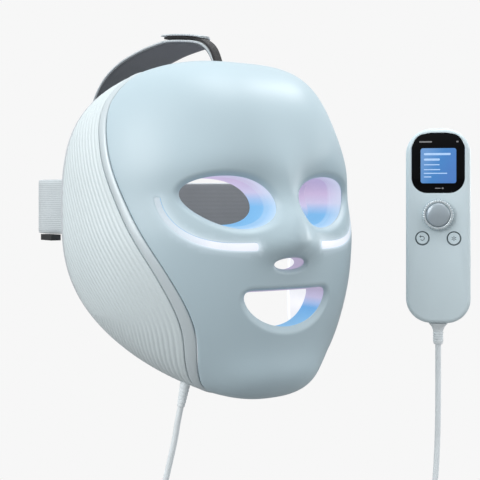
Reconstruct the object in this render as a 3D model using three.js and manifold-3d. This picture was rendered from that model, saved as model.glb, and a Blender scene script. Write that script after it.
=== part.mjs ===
// LED face mask with its head straps, its cord and its wired remote control.
//
// Everything is drawn in the face frame: x runs to the wearer's left, y runs up and z runs straight
// out of the face. The last lines turn the whole group so that z becomes up and the face looks
// along -Y. The origin is the middle of the opening that the wearer's head fills. Millimetres.
import * as THREE from 'three';
import { mergeVertices } from 'three/addons/utils/BufferGeometryUtils.js';
import Module from 'manifold-3d';

const wasm = await Module();
wasm.setup();

// ---------------------------------------------------------------- driving dimensions
const GAP = 0.3;

// the mask's dome
const HALF_WIDTH = 101.1;
const HALF_HEIGHT = 105;
const TOP_HEIGHT = 112.5;
const CHIN_HEIGHT = -107.5;
const POLE_HEIGHT = 6;
const POLE_DEPTH = 102.6;
const RIM_DEPTH = { side: -14, top: 33.2, chin: 68.6 };
const RIM_POWER = { top: 3.16, chin: 2.48 };
const OUTLINE_POWER = { top: 3.11, chin: 2.42 };
const JAW_TAPER = 0.146;
const BROW_FLARE = -0.046;
const DOME_POWER = 2.3;
const DOME_POWER_SHIFT = -0.414;

// soft rises and hollows of the face, each a place, a spread each way and a height; a power of 4
// makes one broad and level across the face
const FACE_HILLS = [
  { x: 35.5, y: 20.8, wide: 40.8, high: 15.8, rise: -10.2, power: 2 },
  { x: 63.3, y: 18, wide: 16, high: 24, rise: 2, power: 2 },
  { x: 0, y: 100.6, wide: 71, high: 31.4, rise: 6.3, power: 4 },
  { x: 0, y: -96.1, wide: 40.8, high: 16.4, rise: 6.7, power: 4 },
  { x: 0, y: -30, wide: 20, high: 16, rise: -1.5, power: 2 },
];
const NOSE = { tip: -6, rise: 12, climb: 36, drop: 9.5, halfWidth: 17, bridge: 12 };

// the layers of the mask, as depths below its outer skin
const SHELL_WALL = 2.4;
const LIGHT_PIPE = { front: 0.3, back: 4.2 };
const BOARD = { front: 4.6, back: 6 };
const LINER = { front: 9.5, back: 11.3 };
const PLATE = { front: 12.8, back: 14.8 };
const FOREHEAD_PAD = { front: 12, back: 16.8 };
const MODULE_DEPTH = { front: 4.8, back: 11.3 };
const SEAL = { middle: 5.75, half: 5.4, thickness: 4.6 };
const LED = { size: 3, height: 1.6 };

// grid lines across the curved layers; neighbours share a count so that their facets run parallel
const OUTER_DIVISIONS = 20;
const INNER_DIVISIONS = 14;
const BOARD_DIVISIONS = 24;

// openings of the face
const EYE = { x: 38, y: 20, a: 28.6, b: 16.3, tilt: 0.158, egg: -0.163, bow: 0.064 };
const NOSTRIL = { y: -20.2, a: 12, b: 4 };
const SURROUND_WALL = 1.6;
const SURROUND_BACK = { eye: 26, mouth: 20, nostril: 13 };
const EYE_STEP = { depth: 11, width: 1.4 };
const STRIP = { half: 2.4, closing: 1.1 };

// the trim strip on each side of the mask
const TRIM_HALF_WIDTH = 2.9;

// straps
const STRAP_THICKNESS = 2.6;
const REAR_STRAP = { bottom: -3, top: 34 };
// half of the strap's plan, in x and backward depth, from the clip at the rim to the back of the head
const REAR_STRAP_HALF = [
  [86, 6],
  [87, 18],
  [91, 28],
  [98, 48],
  [95, 64],
  [85.5, 80],
  [70, 101],
  [50, 120.5],
  [26, 134.5],
];
const TOP_STRAP_HALF = 20;
const TONGUE_HALF = 4;
const LUG = { width: 16, height: 9, depth: 10.6, y: 99.5, z: 29.8, slot: 6.4 };

// remote control
const REMOTE = { x: 136, y: 2, z: 94.8, turn: -0.801 };
const REMOTE_WIDTH = 44.4;
const REMOTE_HEIGHT = 136;
const REMOTE_HALF_DEPTH = 9;
const REMOTE_WALL = 1.8;
const REMOTE_EDGE = 3;
const WINDOW = { y: 43.9, width: 36, height: 41.6, round: 10.5 };
const DIAL_Y = 7.7;
const DIAL_RADIUS = 11;
const DIAL_FOOT = 9.9;
const BUTTON_X = 10.8;
const BUTTON_Y = -8.7;
const BUTTON_RADIUS = 4.1;
const STRAIN_RELIEF_LENGTH = 15.4;

// the cord between the mask and the remote
const CORD_RADIUS = 2;
const COIL = { x: -34, y: -207, z: 38, radius: 22, turns: 4.125, pitch: 4.4, heading: 0.3235 };
const GLAND_START = new THREE.Vector3(-44.5, -89, 51.5);
const GLAND_DIRECTION = new THREE.Vector3(-0.1, -0.975, -0.2).normalize();
const GLAND_LENGTH = 24;

// ---------------------------------------------------------------- materials
function material(color, roughness, metalness = 0, extra = {}) {
  return new THREE.MeshStandardMaterial({ color, roughness, metalness, ...extra });
}

const shellPlastic = material(0xb9ccd3, 0.42);
const panelPlastic = material(0xcbdde1, 0.5);
const trimMetal = material(0xd3dde3, 0.22, 0.9);
const diffuser = material(0xc9d0f2, 0.35, 0, { transparent: true, opacity: 0.75 });
const glowPipe = material(0xf4f4ff, 0.3, 0, { emissive: 0xe8e4ff });
const circuitBoard = material(0xe7ecef, 0.55);
const darkBoard = material(0x2f5a44, 0.55);
const coldMetal = material(0xb7bcc0, 0.28, 1);
const ceramic = material(0xe9e9e4, 0.6);
const softSilicone = material(0xb4c3c9, 0.75);
const strapFabric = material(0xc5cacc, 0.9);
const darkFabric = material(0x55595c, 0.95);
const hookFabric = material(0x0b0b0c, 0.95);
const blackPlastic = material(0x1b1d1f, 0.5);
const remotePlastic = material(0xb9c9cf, 0.42);
const dialPlastic = material(0x98a5ac, 0.3, 0.2);
const blackGlass = material(0x050608, 0.08);
const screenGlass = material(0x3f80ba, 0.2, 0, { emissive: 0x3f80ba });
const cordPlastic = material(0xdfe6e8, 0.55);
const steel = material(0x9da3a7, 0.3, 1);

// ---------------------------------------------------------------- the group and solid helpers
const object = new THREE.Group();
const remote = new THREE.Group();

function toSolid(geometry) {
  const bare = geometry.clone();
  bare.deleteAttribute('normal');
  bare.deleteAttribute('uv');
  const merged = mergeVertices(bare, 1e-4);
  return new wasm.Manifold(new wasm.Mesh({
    numProp: 3,
    vertProperties: new Float32Array(merged.attributes.position.array),
    triVerts: new Uint32Array(merged.index.array),
  }));
}

function toGeometry(solid) {
  const mesh = solid.getMesh();
  const geometry = new THREE.BufferGeometry();
  geometry.setAttribute('position', new THREE.BufferAttribute(mesh.vertProperties, 3));
  geometry.setIndex(new THREE.BufferAttribute(mesh.triVerts, 1));
  geometry.computeVertexNormals();
  return geometry;
}

function addPart(name, solid, partMaterial, parent = object) {
  const mesh = new THREE.Mesh(toGeometry(solid), partMaterial);
  mesh.name = name;
  parent.add(mesh);
  return mesh;
}

// a flat outline in x and y, made solid from one depth to another along z
function prism(shape, back, front, curveSegments = 12) {
  const geometry = new THREE.ExtrudeGeometry(shape, {
    depth: front - back,
    bevelEnabled: false,
    curveSegments,
  });
  geometry.translate(0, 0, back);
  return toSolid(geometry);
}

// an outline whose x is depth and whose y is height, made solid from one x to another
function sidePrism(shape, left, right) {
  const geometry = new THREE.ExtrudeGeometry(shape, {
    depth: right - left,
    bevelEnabled: false,
    curveSegments: 12,
  });
  geometry.rotateY(-Math.PI / 2);
  geometry.translate(right, 0, 0);
  return toSolid(geometry);
}

function ellipse(x, y, a, b, tilt = 0) {
  const shape = new THREE.Shape();
  shape.absellipse(x, y, a, b, 0, 2 * Math.PI, false, tilt);
  return shape;
}

function roundedRectangle(x, y, width, height, radius) {
  const shape = new THREE.Shape();
  const left = x - width / 2;
  const right = x + width / 2;
  const low = y - height / 2;
  const high = y + height / 2;
  shape.moveTo(left + radius, low);
  shape.lineTo(right - radius, low);
  shape.absarc(right - radius, low + radius, radius, -Math.PI / 2, 0);
  shape.lineTo(right, high - radius);
  shape.absarc(right - radius, high - radius, radius, 0, Math.PI / 2);
  shape.lineTo(left + radius, high);
  shape.absarc(left + radius, high - radius, radius, Math.PI / 2, Math.PI);
  shape.lineTo(left, low + radius);
  shape.absarc(left + radius, low + radius, radius, Math.PI, 1.5 * Math.PI);
  return shape;
}

function box(width, height, depth, x, y, z) {
  const geometry = new THREE.BoxGeometry(width, height, depth);
  geometry.translate(x, y, z);
  return toSolid(geometry);
}

// a round rod along z
function rod(radius, back, front, x = 0, y = 0, sides = 32) {
  const geometry = new THREE.CylinderGeometry(radius, radius, front - back, sides);
  geometry.rotateX(Math.PI / 2);
  geometry.translate(x, y, (front + back) / 2);
  return toSolid(geometry);
}

// points beside a curve in its own plane, at a distance to its left; they may close in by its end
function besideCurve(curve, distance, count, closing = 0) {
  return Array.from({ length: count + 1 }, (_, step) => {
    const point = curve.getPointAt(step / count);
    const tangent = curve.getTangentAt(step / count);
    const reach = distance - Math.sign(distance) * closing * step / count;
    return new THREE.Vector2(point.x - tangent.y * reach, point.y + tangent.x * reach);
  });
}

// the closed outline of a band that follows a curve
function bandOutline(curve, right, left, count, closing = 0) {
  const near = besideCurve(curve, right, count, closing);
  const far = besideCurve(curve, left, count, closing).reverse();
  return new THREE.Shape([...near, ...far]);
}

// ---------------------------------------------------------------- the mask's surface
function signedPower(value, power) {
  return Math.sign(value) * Math.abs(value) ** power;
}

// the mask's rim at an angle around the face, from the wearer's left over the top
function rimPoint(angle) {
  const across = Math.cos(angle);
  const upward = Math.sin(angle);
  const above = Math.max(upward, 0);
  const below = Math.max(-upward, 0);
  const power = upward >= 0 ? OUTLINE_POWER.top : OUTLINE_POWER.chin;
  const reach = upward >= 0 ? TOP_HEIGHT - POLE_HEIGHT : POLE_HEIGHT - CHIN_HEIGHT;
  const taper = (1 - JAW_TAPER * below ** 1.6) * (1 + BROW_FLARE * above ** 2);
  const lift = (RIM_DEPTH.top - RIM_DEPTH.side) * above ** RIM_POWER.top
    + (RIM_DEPTH.chin - RIM_DEPTH.side) * below ** RIM_POWER.chin;
  return {
    x: HALF_WIDTH * signedPower(across, 2 / power) * taper,
    y: POLE_HEIGHT + reach * signedPower(upward, 2 / power),
    z: RIM_DEPTH.side + lift,
  };
}

function hill(x, y, shape) {
  const across = (Math.abs(x) - shape.x) / shape.wide;
  const upward = (y - shape.y) / shape.high;
  return shape.rise * Math.exp(-(Math.abs(across) ** shape.power) - upward ** 2);
}

// what the face adds to the plain dome: the nose, the sockets, the upper lip and the corners
function faceRelief(x, y) {
  const above = y > NOSE.tip;
  const climb = Math.abs(y - NOSE.tip);
  const ridge = above ? Math.exp(-((climb / NOSE.climb) ** 1.8)) : Math.exp(-((climb / NOSE.drop) ** 2.6));
  const narrowing = above ? (NOSE.halfWidth - NOSE.bridge) * Math.min(climb / 45, 1) : 0;
  const nose = NOSE.rise * ridge * Math.exp(-((x / (NOSE.halfWidth - narrowing)) ** 2));
  return FACE_HILLS.reduce((sum, shape) => sum + hill(x, y, shape), nose);
}

// a point of the mask at a distance (0 to 1) and an angle from the dome's pole, some way below the skin
function maskPoint(distance, angle, inset) {
  const rim = rimPoint(angle);
  const power = DOME_POWER + DOME_POWER_SHIFT * Math.sin(angle);
  const spread = Math.sin(distance * Math.PI / 2) ** (2 / power);
  const rise = Math.max(Math.cos(distance * Math.PI / 2), 0) ** (2 / power);
  const x = rim.x * spread * (1 - inset / HALF_WIDTH);
  const y = POLE_HEIGHT + (rim.y - POLE_HEIGHT) * spread * (1 - inset / HALF_HEIGHT);
  const z = rim.z + (POLE_DEPTH - inset - rim.z) * rise + faceRelief(x, y);
  return new THREE.Vector3(x, y, z);
}

// the depth of the surface behind a point of the front view
function surfaceDepth(x, y, inset) {
  const wideX = x / (1 - inset / HALF_WIDTH);
  const wideY = (y - POLE_HEIGHT) / (1 - inset / HALF_HEIGHT);
  let low = wideY >= 0 ? 0 : -Math.PI;
  let high = low + Math.PI;
  for (let step = 0; step < 40; step += 1) {
    const middle = (low + high) / 2;
    const rim = rimPoint(middle);
    if (rim.x * wideY - (rim.y - POLE_HEIGHT) * wideX > 0) low = middle;
    else high = middle;
  }
  const angle = (low + high) / 2;
  const rim = rimPoint(angle);
  const spread = Math.hypot(wideX, wideY) / Math.hypot(rim.x, rim.y - POLE_HEIGHT);
  const power = DOME_POWER + DOME_POWER_SHIFT * Math.sin(angle);
  const distance = Math.asin(Math.min(spread ** (power / 2), 1)) * 2 / Math.PI;
  return maskPoint(distance, angle, inset).z;
}

// a closed skin of the mask between two depths below its outer surface
function maskLayer(front, back, divisions) {
  const geometry = new THREE.BoxGeometry(2, 2, 1, divisions, divisions, 1);
  const position = geometry.attributes.position;
  for (let index = 0; index < position.count; index += 1) {
    const s = position.getX(index);
    const t = position.getY(index);
    const p = s * Math.sqrt(1 - t * t / 2);
    const q = t * Math.sqrt(1 - s * s / 2);
    const inset = position.getZ(index) > 0 ? front : back;
    const point = maskPoint(Math.min(Math.hypot(p, q), 1), Math.atan2(q, p), inset);
    position.setXYZ(index, point.x, point.y, point.z);
  }
  return toSolid(geometry);
}

// ---------------------------------------------------------------- outlines on the face
// the eye is an ellipse that is rounder towards the nose, bowed a little and tilted
function eyeOutline(side, grow) {
  const points = Array.from({ length: 36 }, (_, index) => {
    const angle = 2 * Math.PI * index / 36;
    const cosine = Math.cos(angle);
    const along = (EYE.a + grow) * cosine;
    const bowed = Math.sin(angle) * (1 + EYE.egg * cosine) + EYE.bow * (cosine ** 2 - 0.5);
    const point = new THREE.Vector2(along, (EYE.b + grow) * bowed);
    point.rotateAround(new THREE.Vector2(), EYE.tilt);
    return new THREE.Vector2(side * (EYE.x + point.x), EYE.y + point.y);
  });
  return new THREE.Shape(points);
}

function nostrilOutline(grow) {
  return ellipse(0, NOSTRIL.y, NOSTRIL.a + grow, NOSTRIL.b + grow);
}

function mouthOutline(grow) {
  const shape = new THREE.Shape();
  shape.moveTo(-26, -36.6 + grow);
  shape.lineTo(26, -36.6 + grow);
  shape.quadraticCurveTo(33 + grow, -36.6 + grow, 32 + grow, -42);
  shape.bezierCurveTo(29 + grow, -53 - grow, 15, -60.8 - grow, 0, -60.8 - grow);
  shape.bezierCurveTo(-15, -60.8 - grow, -29 - grow, -53 - grow, -32 - grow, -42);
  shape.quadraticCurveTo(-33 - grow, -36.6 + grow, -26, -36.6 + grow);
  return shape;
}

// the curved light strip under an eye
function stripOutline(side, grow) {
  const middle = new THREE.CubicBezierCurve(
    new THREE.Vector2(side * 26, -8.6),
    new THREE.Vector2(side * 52, -9.3),
    new THREE.Vector2(side * 74, -6),
    new THREE.Vector2(side * 76.2, 21),
  );
  return bandOutline(middle, -STRIP.half - grow, STRIP.half + grow, 12, STRIP.closing);
}

// the S-shaped line that the trim follows, in depth and height
const trimLine = new THREE.SplineCurve([
  new THREE.Vector2(20.5, 114),
  new THREE.Vector2(16.3, 84),
  new THREE.Vector2(27.9, 53),
  new THREE.Vector2(46.7, 16),
  new THREE.Vector2(69.6, -25),
  new THREE.Vector2(76.8, -58),
  new THREE.Vector2(68.1, -88),
  new THREE.Vector2(50.9, -116),
]);

function behindTrim(distance, left, right) {
  const edge = besideCurve(trimLine, distance, 20);
  const outline = new THREE.Shape([
    ...edge,
    new THREE.Vector2(-40, edge.at(-1).y),
    new THREE.Vector2(-40, edge[0].y),
  ]);
  return sidePrism(outline, left, right);
}

// ---------------------------------------------------------------- cord route and gland
function coilPoint(angle) {
  const along = new THREE.Vector3(Math.cos(COIL.heading), 0, Math.sin(COIL.heading));
  const axis = new THREE.Vector3(-Math.sin(COIL.heading), 0, Math.cos(COIL.heading));
  const turned = (angle - Math.PI) / (2 * Math.PI) - COIL.turns / 2;
  return new THREE.Vector3(COIL.x, COIL.y, COIL.z)
    .addScaledVector(along, COIL.radius * Math.cos(angle))
    .add(new THREE.Vector3(0, COIL.radius * Math.sin(angle), 0))
    .addScaledVector(axis, turned * COIL.pitch);
}

// the cord joins and leaves the coil's outside along a tangent of this length
const COIL_LEAD = 15;
const COIL_START = Math.PI;
const COIL_END = Math.PI * (1 + 2 * COIL.turns);

const glandEnd = GLAND_START.clone().addScaledVector(GLAND_DIRECTION, GLAND_LENGTH);
const remoteExit = new THREE.Vector3(
  REMOTE.x,
  REMOTE.y - REMOTE_HEIGHT / 2 - STRAIN_RELIEF_LENGTH,
  REMOTE.z,
);

// the lathe's own axis is y, so a lathed piece is turned to point along a direction
function lathedAlong(profile, start, direction, sides) {
  const geometry = new THREE.LatheGeometry(profile, sides);
  const turn = new THREE.Quaternion().setFromUnitVectors(new THREE.Vector3(0, 1, 0), direction);
  geometry.applyQuaternion(turn);
  geometry.translate(start.x, start.y, start.z);
  return toSolid(geometry);
}

function glandSolid(grow) {
  const profile = [
    new THREE.Vector2(0, -grow),
    new THREE.Vector2(4.2 + grow, -grow),
    new THREE.Vector2(4.2 + grow, 4),
    new THREE.Vector2(3.4 + grow, 6),
    new THREE.Vector2(2.5 + grow, GLAND_LENGTH + grow),
    new THREE.Vector2(0, GLAND_LENGTH + grow),
  ];
  return lathedAlong(profile, GLAND_START, GLAND_DIRECTION, 16);
}

// ---------------------------------------------------------------- mask: shells and trim
function openingCuts(grow) {
  return [
    prism(eyeOutline(-1, grow), 20, 130),
    prism(eyeOutline(1, grow), 20, 130),
    prism(mouthOutline(grow), 50, 130, 6),
    prism(nostrilOutline(grow), 50, 130, 16),
  ];
}

// the shell opens at the outlines themselves; what lies behind it also clears the surrounds
const shellCuts = openingCuts(0);
const faceCuts = openingCuts(SURROUND_WALL + GAP);
const stripCuts = [-1, 1].map((side) => prism(stripOutline(side, GAP), 30, 130));

function cutAll(solid, cuts) {
  return cuts.reduce((rest, cut) => rest.subtract(cut), solid);
}

const glandClearance = glandSolid(GAP);
const outerSkin = cutAll(
  maskLayer(0, SHELL_WALL, OUTER_DIVISIONS),
  [...shellCuts, ...stripCuts, glandClearance],
);
const REAR_EDGE = -TRIM_HALF_WIDTH - GAP;
const FRONT_EDGE = TRIM_HALF_WIDTH + GAP;

addPart('front_shell', outerSkin.subtract(behindTrim(FRONT_EDGE, -150, 150)), shellPlastic);

const trimBand = bandOutline(trimLine, -TRIM_HALF_WIDTH, TRIM_HALF_WIDTH, 20);
const trimSkin = maskLayer(-0.2, SHELL_WALL, OUTER_DIVISIONS).subtract(glandClearance);

const SIDES = [
  { name: 'right', sign: -1 },
  { name: 'left', sign: 1 },
];

for (const { name, sign } of SIDES) {
  const left = sign < 0 ? -150 : 12;
  const right = sign < 0 ? -12 : 150;
  addPart(`trim_strip_${name}`, trimSkin.intersect(sidePrism(trimBand, left, right)), trimMetal);
  addPart(`side_panel_${name}`, outerSkin.intersect(behindTrim(REAR_EDGE, left, right)), panelPlastic);
}

// ---------------------------------------------------------------- mask: liner, surrounds, lights
const moduleOutline = (side, grow) => roundedRectangle(side * 48, -19, 24 + grow, 9 + grow, 2);
const moduleCuts = [-1, 1].map((side) => prism(moduleOutline(side, 2 * GAP), 30, 130));
const linerSolid = cutAll(
  maskLayer(LINER.front, LINER.back, INNER_DIVISIONS),
  [...faceCuts, ...moduleCuts, glandClearance],
);
addPart('inner_liner', linerSolid, diffuser);

// the room that the shell takes up, with the gap behind it
const shellRoom = maskLayer(-SHELL_WALL, SHELL_WALL + GAP, OUTER_DIVISIONS);

// a wall around an opening, from the shell or from a depth behind it to a greater depth
function surround(outer, inner, back, front = 0) {
  const layer = maskLayer(front, back, OUTER_DIVISIONS);
  return layer.intersect(outer).subtract(inner).subtract(shellRoom);
}

const mouthRing = surround(
  prism(mouthOutline(SURROUND_WALL), 40, 130, 6),
  prism(mouthOutline(0), 40, 130, 6),
  SURROUND_BACK.mouth,
);
const nostrilRing = surround(
  prism(nostrilOutline(SURROUND_WALL), 50, 130, 16),
  prism(nostrilOutline(0), 50, 130, 16),
  SURROUND_BACK.nostril,
);
addPart('mouth_surround', mouthRing, diffuser);
addPart('nostril_surround', nostrilRing, diffuser);

const pipeSkin = maskLayer(LIGHT_PIPE.front, LIGHT_PIPE.back, OUTER_DIVISIONS);
const moduleSkin = maskLayer(MODULE_DEPTH.front, MODULE_DEPTH.back, INNER_DIVISIONS);
const plateSkin = maskLayer(PLATE.front, PLATE.back, INNER_DIVISIONS);

function plateOutline(side) {
  const middle = new THREE.QuadraticBezierCurve(
    new THREE.Vector2(side * 24, -17),
    new THREE.Vector2(side * 48, -20),
    new THREE.Vector2(side * 68, -6),
  );
  return bandOutline(middle, -6, 6, 10);
}

for (const { name, sign } of SIDES) {
  const eyeOuter = prism(eyeOutline(sign, SURROUND_WALL), 10, 130);
  const eyeInner = prism(eyeOutline(sign, 0), 10, 130);
  const eyeStep = prism(eyeOutline(sign, -EYE_STEP.width), 10, 130);
  // the eye's wall steps inwards part of the way back
  const eyeRing = surround(eyeOuter, eyeInner, EYE_STEP.depth + 0.5)
    .add(surround(eyeOuter, eyeStep, SURROUND_BACK.eye, EYE_STEP.depth));
  addPart(`eye_surround_${name}`, eyeRing, diffuser);
  const pipe = pipeSkin.intersect(prism(stripOutline(sign, 0), 30, 130));
  addPart(`under_eye_light_${name}`, pipe, glowPipe);
  const cooler = moduleSkin.intersect(prism(moduleOutline(sign, 0), 30, 130));
  addPart(`cooling_module_${name}`, cooler, ceramic);
  const plate = plateSkin.intersect(prism(plateOutline(sign), 30, 130));
  addPart(`cooling_plate_${name}`, cutAll(plate, faceCuts), coldMetal);
}

// ---------------------------------------------------------------- mask: LED boards
const boardSkin = maskLayer(BOARD.front, BOARD.back, BOARD_DIVISIONS);

function ledBoard(name, shape, columns, rows) {
  let solid = cutAll(boardSkin.intersect(prism(shape, -20, 130, 3)), faceCuts);
  for (const y of rows) {
    for (const x of columns) {
      const depth = surfaceDepth(x, y, BOARD.back);
      solid = solid.add(box(LED.size, LED.size, LED.height, x, y, depth - LED.height / 2 + 0.5));
    }
  }
  addPart(name, solid, circuitBoard);
}

const foreheadBoard = roundedRectangle(0, 66, 132, 42, 12);
const chinBoard = roundedRectangle(0, -77, 64, 20, 8);
ledBoard('led_board_forehead', foreheadBoard, [-52, -31, -10, 10, 31, 52], [56, 76]);
ledBoard('led_board_chin', chinBoard, [-22, 0, 22], [-77]);
for (const { name, sign } of SIDES) {
  const cheekBoard = roundedRectangle(sign * 60, -44, 36, 34, 8);
  ledBoard(`led_board_cheek_${name}`, cheekBoard, [sign * 68, sign * 52], [-52, -36]);
}

// ---------------------------------------------------------------- mask: soft contact parts
const padShape = roundedRectangle(0, 71, 78, 26, 11);
const padSkin = maskLayer(LINER.front, FOREHEAD_PAD.back, INNER_DIVISIONS)
  .subtract(maskLayer(0, FOREHEAD_PAD.front, INNER_DIVISIONS));
addPart('forehead_pad', padSkin.intersect(prism(padShape, 0, 130, 4)), softSilicone);

// a soft bead that closes the gap between the shell and the liner all round the rim
function rimSeal() {
  const geometry = new THREE.TorusGeometry(10, 1, 6, 60);
  const position = geometry.attributes.position;
  for (let index = 0; index < position.count; index += 1) {
    const x = position.getX(index);
    const y = position.getY(index);
    const angle = Math.atan2(y, x);
    const outward = Math.hypot(x, y) - 10;
    const forward = position.getZ(index);
    const rim = maskPoint(1, angle, SEAL.middle - outward * SEAL.half);
    position.setXYZ(index, rim.x, rim.y, rim.z - GAP - SEAL.thickness / 2 * (1 - forward));
  }
  return toSolid(geometry);
}

addPart('cord_gland', glandSolid(0), cordPlastic);

// ---------------------------------------------------------------- straps
const rearStrapLine = new THREE.SplineCurve([
  ...REAR_STRAP_HALF.map(([x, back]) => new THREE.Vector2(-x, back)),
  new THREE.Vector2(0, 139),
  ...REAR_STRAP_HALF.map(([x, back]) => new THREE.Vector2(x, back)).reverse(),
]);

// a plan-view outline in x and backward depth, made solid from one height to another
function planPrism(shape, bottom, top) {
  const geometry = new THREE.ExtrudeGeometry(shape, {
    depth: top - bottom,
    bevelEnabled: false,
    curveSegments: 12,
  });
  geometry.rotateX(-Math.PI / 2);
  geometry.translate(0, bottom, 0);
  return toSolid(geometry);
}

const halfStrap = STRAP_THICKNESS / 2;
const rearStrap = planPrism(
  bandOutline(rearStrapLine, -halfStrap, halfStrap, 44),
  REAR_STRAP.bottom,
  REAR_STRAP.top,
);
addPart('rear_strap', rearStrap, strapFabric);

const topStrapLine = new THREE.SplineCurve([
  new THREE.Vector2(30.3, 102.5),
  new THREE.Vector2(22.6, 108),
  new THREE.Vector2(17.6, 115.5),
  new THREE.Vector2(10, 124.5),
  new THREE.Vector2(0, 130),
  new THREE.Vector2(-13, 132.5),
  new THREE.Vector2(-40, 131.5),
  new THREE.Vector2(-64, 129),
  new THREE.Vector2(-92, 123.5),
  new THREE.Vector2(-116, 113.5),
  new THREE.Vector2(-133, 98),
  new THREE.Vector2(-143, 76),
  new THREE.Vector2(-145.3, 56),
  new THREE.Vector2(-143.6, 36),
  new THREE.Vector2(-142.8, 16),
  new THREE.Vector2(-142.8, -2),
]);

// the strap's front view narrows to a tongue at the forehead
function topStrapPlan() {
  const shape = new THREE.Shape();
  shape.moveTo(-TOP_STRAP_HALF, 170);
  shape.lineTo(-TOP_STRAP_HALF, 26);
  shape.bezierCurveTo(-TOP_STRAP_HALF, 12, -TONGUE_HALF, 12, -TONGUE_HALF, 0);
  shape.lineTo(-TONGUE_HALF, -40);
  shape.lineTo(TONGUE_HALF, -40);
  shape.lineTo(TONGUE_HALF, 0);
  shape.bezierCurveTo(TONGUE_HALF, 12, TOP_STRAP_HALF, 12, TOP_STRAP_HALF, 26);
  shape.lineTo(TOP_STRAP_HALF, 170);
  return shape;
}

const strapPlan = planPrism(topStrapPlan(), -20, 160);
const topStrap = sidePrism(bandOutline(topStrapLine, -halfStrap, halfStrap, 40), -21, 21);
addPart('top_strap', topStrap.intersect(strapPlan), darkFabric);

// the free end of the strap folds back over the crest and closes with hook-and-loop
const hookLine = new THREE.SplineCurve([
  new THREE.Vector2(20.5, 112.5),
  new THREE.Vector2(13, 125.2),
  new THREE.Vector2(1, 132.6),
  new THREE.Vector2(-13, 135.2),
  new THREE.Vector2(-22, 135.4),
]);
const hookBand = sidePrism(bandOutline(hookLine, -0.9, 0.9, 14), -21, 21);
const hookSolid = hookBand.intersect(strapPlan).subtract(topStrap);
addPart('hook_patch', hookSolid, hookFabric);

const tabLine = new THREE.SplineCurve([
  new THREE.Vector2(1.8, 134.7),
  new THREE.Vector2(-5, 136.5),
  new THREE.Vector2(-13, 137.3),
  new THREE.Vector2(-25, 137.4),
]);
const tabBand = sidePrism(bandOutline(tabLine, -0.7, 0.7, 14), -21, 21);
addPart('top_strap_tab', tabBand.intersect(strapPlan).subtract(hookBand), strapFabric);

// the lug that holds the strap's tongue at the top of the forehead
const tongueSlot = box(2 * TONGUE_HALF + 2, LUG.height, LUG.slot, 0, LUG.y + 2, LUG.z - 1);
const foreheadLug = box(LUG.width, LUG.height, LUG.depth, 0, LUG.y, LUG.z).subtract(tongueSlot);
addPart('forehead_lug', foreheadLug, blackPlastic);

for (const { name, sign } of SIDES) {
  // the clip that each end of the rear strap is fastened with, inside the rim
  const clip = box(3.4, 30, 13, sign * 84, 15.5, -13).add(box(3, 30, 4, sign * 82, 15.5, -8));
  addPart(`strap_clip_${name}`, clip.subtract(rearStrap), blackPlastic);
  // the small keeper under the strap that holds its adjusted end
  const keeper = box(7, 4, 17, sign * 98, REAR_STRAP.bottom - 2.4, -40);
  addPart(`strap_keeper_${name}`, keeper, hookFabric);
}

const lugSize = [LUG.width, LUG.height, LUG.depth].map((size) => size + 2 * GAP);
const lugClearance = box(...lugSize, 0, LUG.y, LUG.z);
addPart('rim_seal', cutAll(rimSeal(), [glandClearance, lugClearance]), softSilicone);

// ---------------------------------------------------------------- cord
function tube(points, sides, steps) {
  const section = new THREE.Shape(Array.from({ length: sides }, (_, index) => {
    const angle = 2 * Math.PI * index / sides;
    return new THREE.Vector2(CORD_RADIUS * Math.cos(angle), CORD_RADIUS * Math.sin(angle));
  }));
  const path = new THREE.CatmullRomCurve3(points, false, 'centripetal');
  return toSolid(new THREE.ExtrudeGeometry(section, { extrudePath: path, steps, bevelEnabled: false }));
}

const cordStart = glandEnd.clone().addScaledVector(GLAND_DIRECTION, GAP);
addPart('cord_mask_side', tube([
  cordStart,
  cordStart.clone().addScaledVector(GLAND_DIRECTION, 10),
  new THREE.Vector3(-48.6, -134, 42.2),
  new THREE.Vector3(-50.4, -150, 38.6),
  new THREE.Vector3(-52.2, -166, 34.6),
  new THREE.Vector3(-53.0, -179, 30.6),
  coilPoint(COIL_START).add(new THREE.Vector3(0, COIL_LEAD, 0)),
], 8, 12), cordPlastic);

const coilHalf = (COIL.turns * COIL.pitch) / 2 + CORD_RADIUS + 0.4;
const coilProfile = [
  new THREE.Vector2(COIL.radius - CORD_RADIUS - GAP, -coilHalf),
  new THREE.Vector2(COIL.radius + CORD_RADIUS + GAP, -coilHalf),
  new THREE.Vector2(COIL.radius + CORD_RADIUS + GAP, coilHalf),
  new THREE.Vector2(COIL.radius - CORD_RADIUS - GAP, coilHalf),
  new THREE.Vector2(COIL.radius - CORD_RADIUS - GAP, -coilHalf),
];
const coilAxis = new THREE.Vector3(-Math.sin(COIL.heading), 0, Math.cos(COIL.heading));
const coilCentre = new THREE.Vector3(COIL.x, COIL.y, COIL.z);
addPart('cord_coil', lathedAlong(coilProfile, coilCentre, coilAxis, 24), cordPlastic);

// ---------------------------------------------------------------- remote control
function remoteOutline(grow) {
  const half = REMOTE_WIDTH / 2 + grow;
  const high = REMOTE_HEIGHT / 2 + grow;
  const shape = new THREE.Shape();
  const topRound = 18 + grow;
  const lowRound = 17 + grow;
  shape.moveTo(-half + lowRound, -high);
  shape.lineTo(half - lowRound, -high);
  shape.absarc(half - lowRound, -high + lowRound, lowRound, -Math.PI / 2, 0);
  shape.absarc(half - topRound, high - topRound, topRound, 0, Math.PI / 2);
  shape.absarc(-half + topRound, high - topRound, topRound, Math.PI / 2, Math.PI);
  shape.absarc(-half + lowRound, -high + lowRound, lowRound, Math.PI, 1.5 * Math.PI);
  return shape;
}

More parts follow.
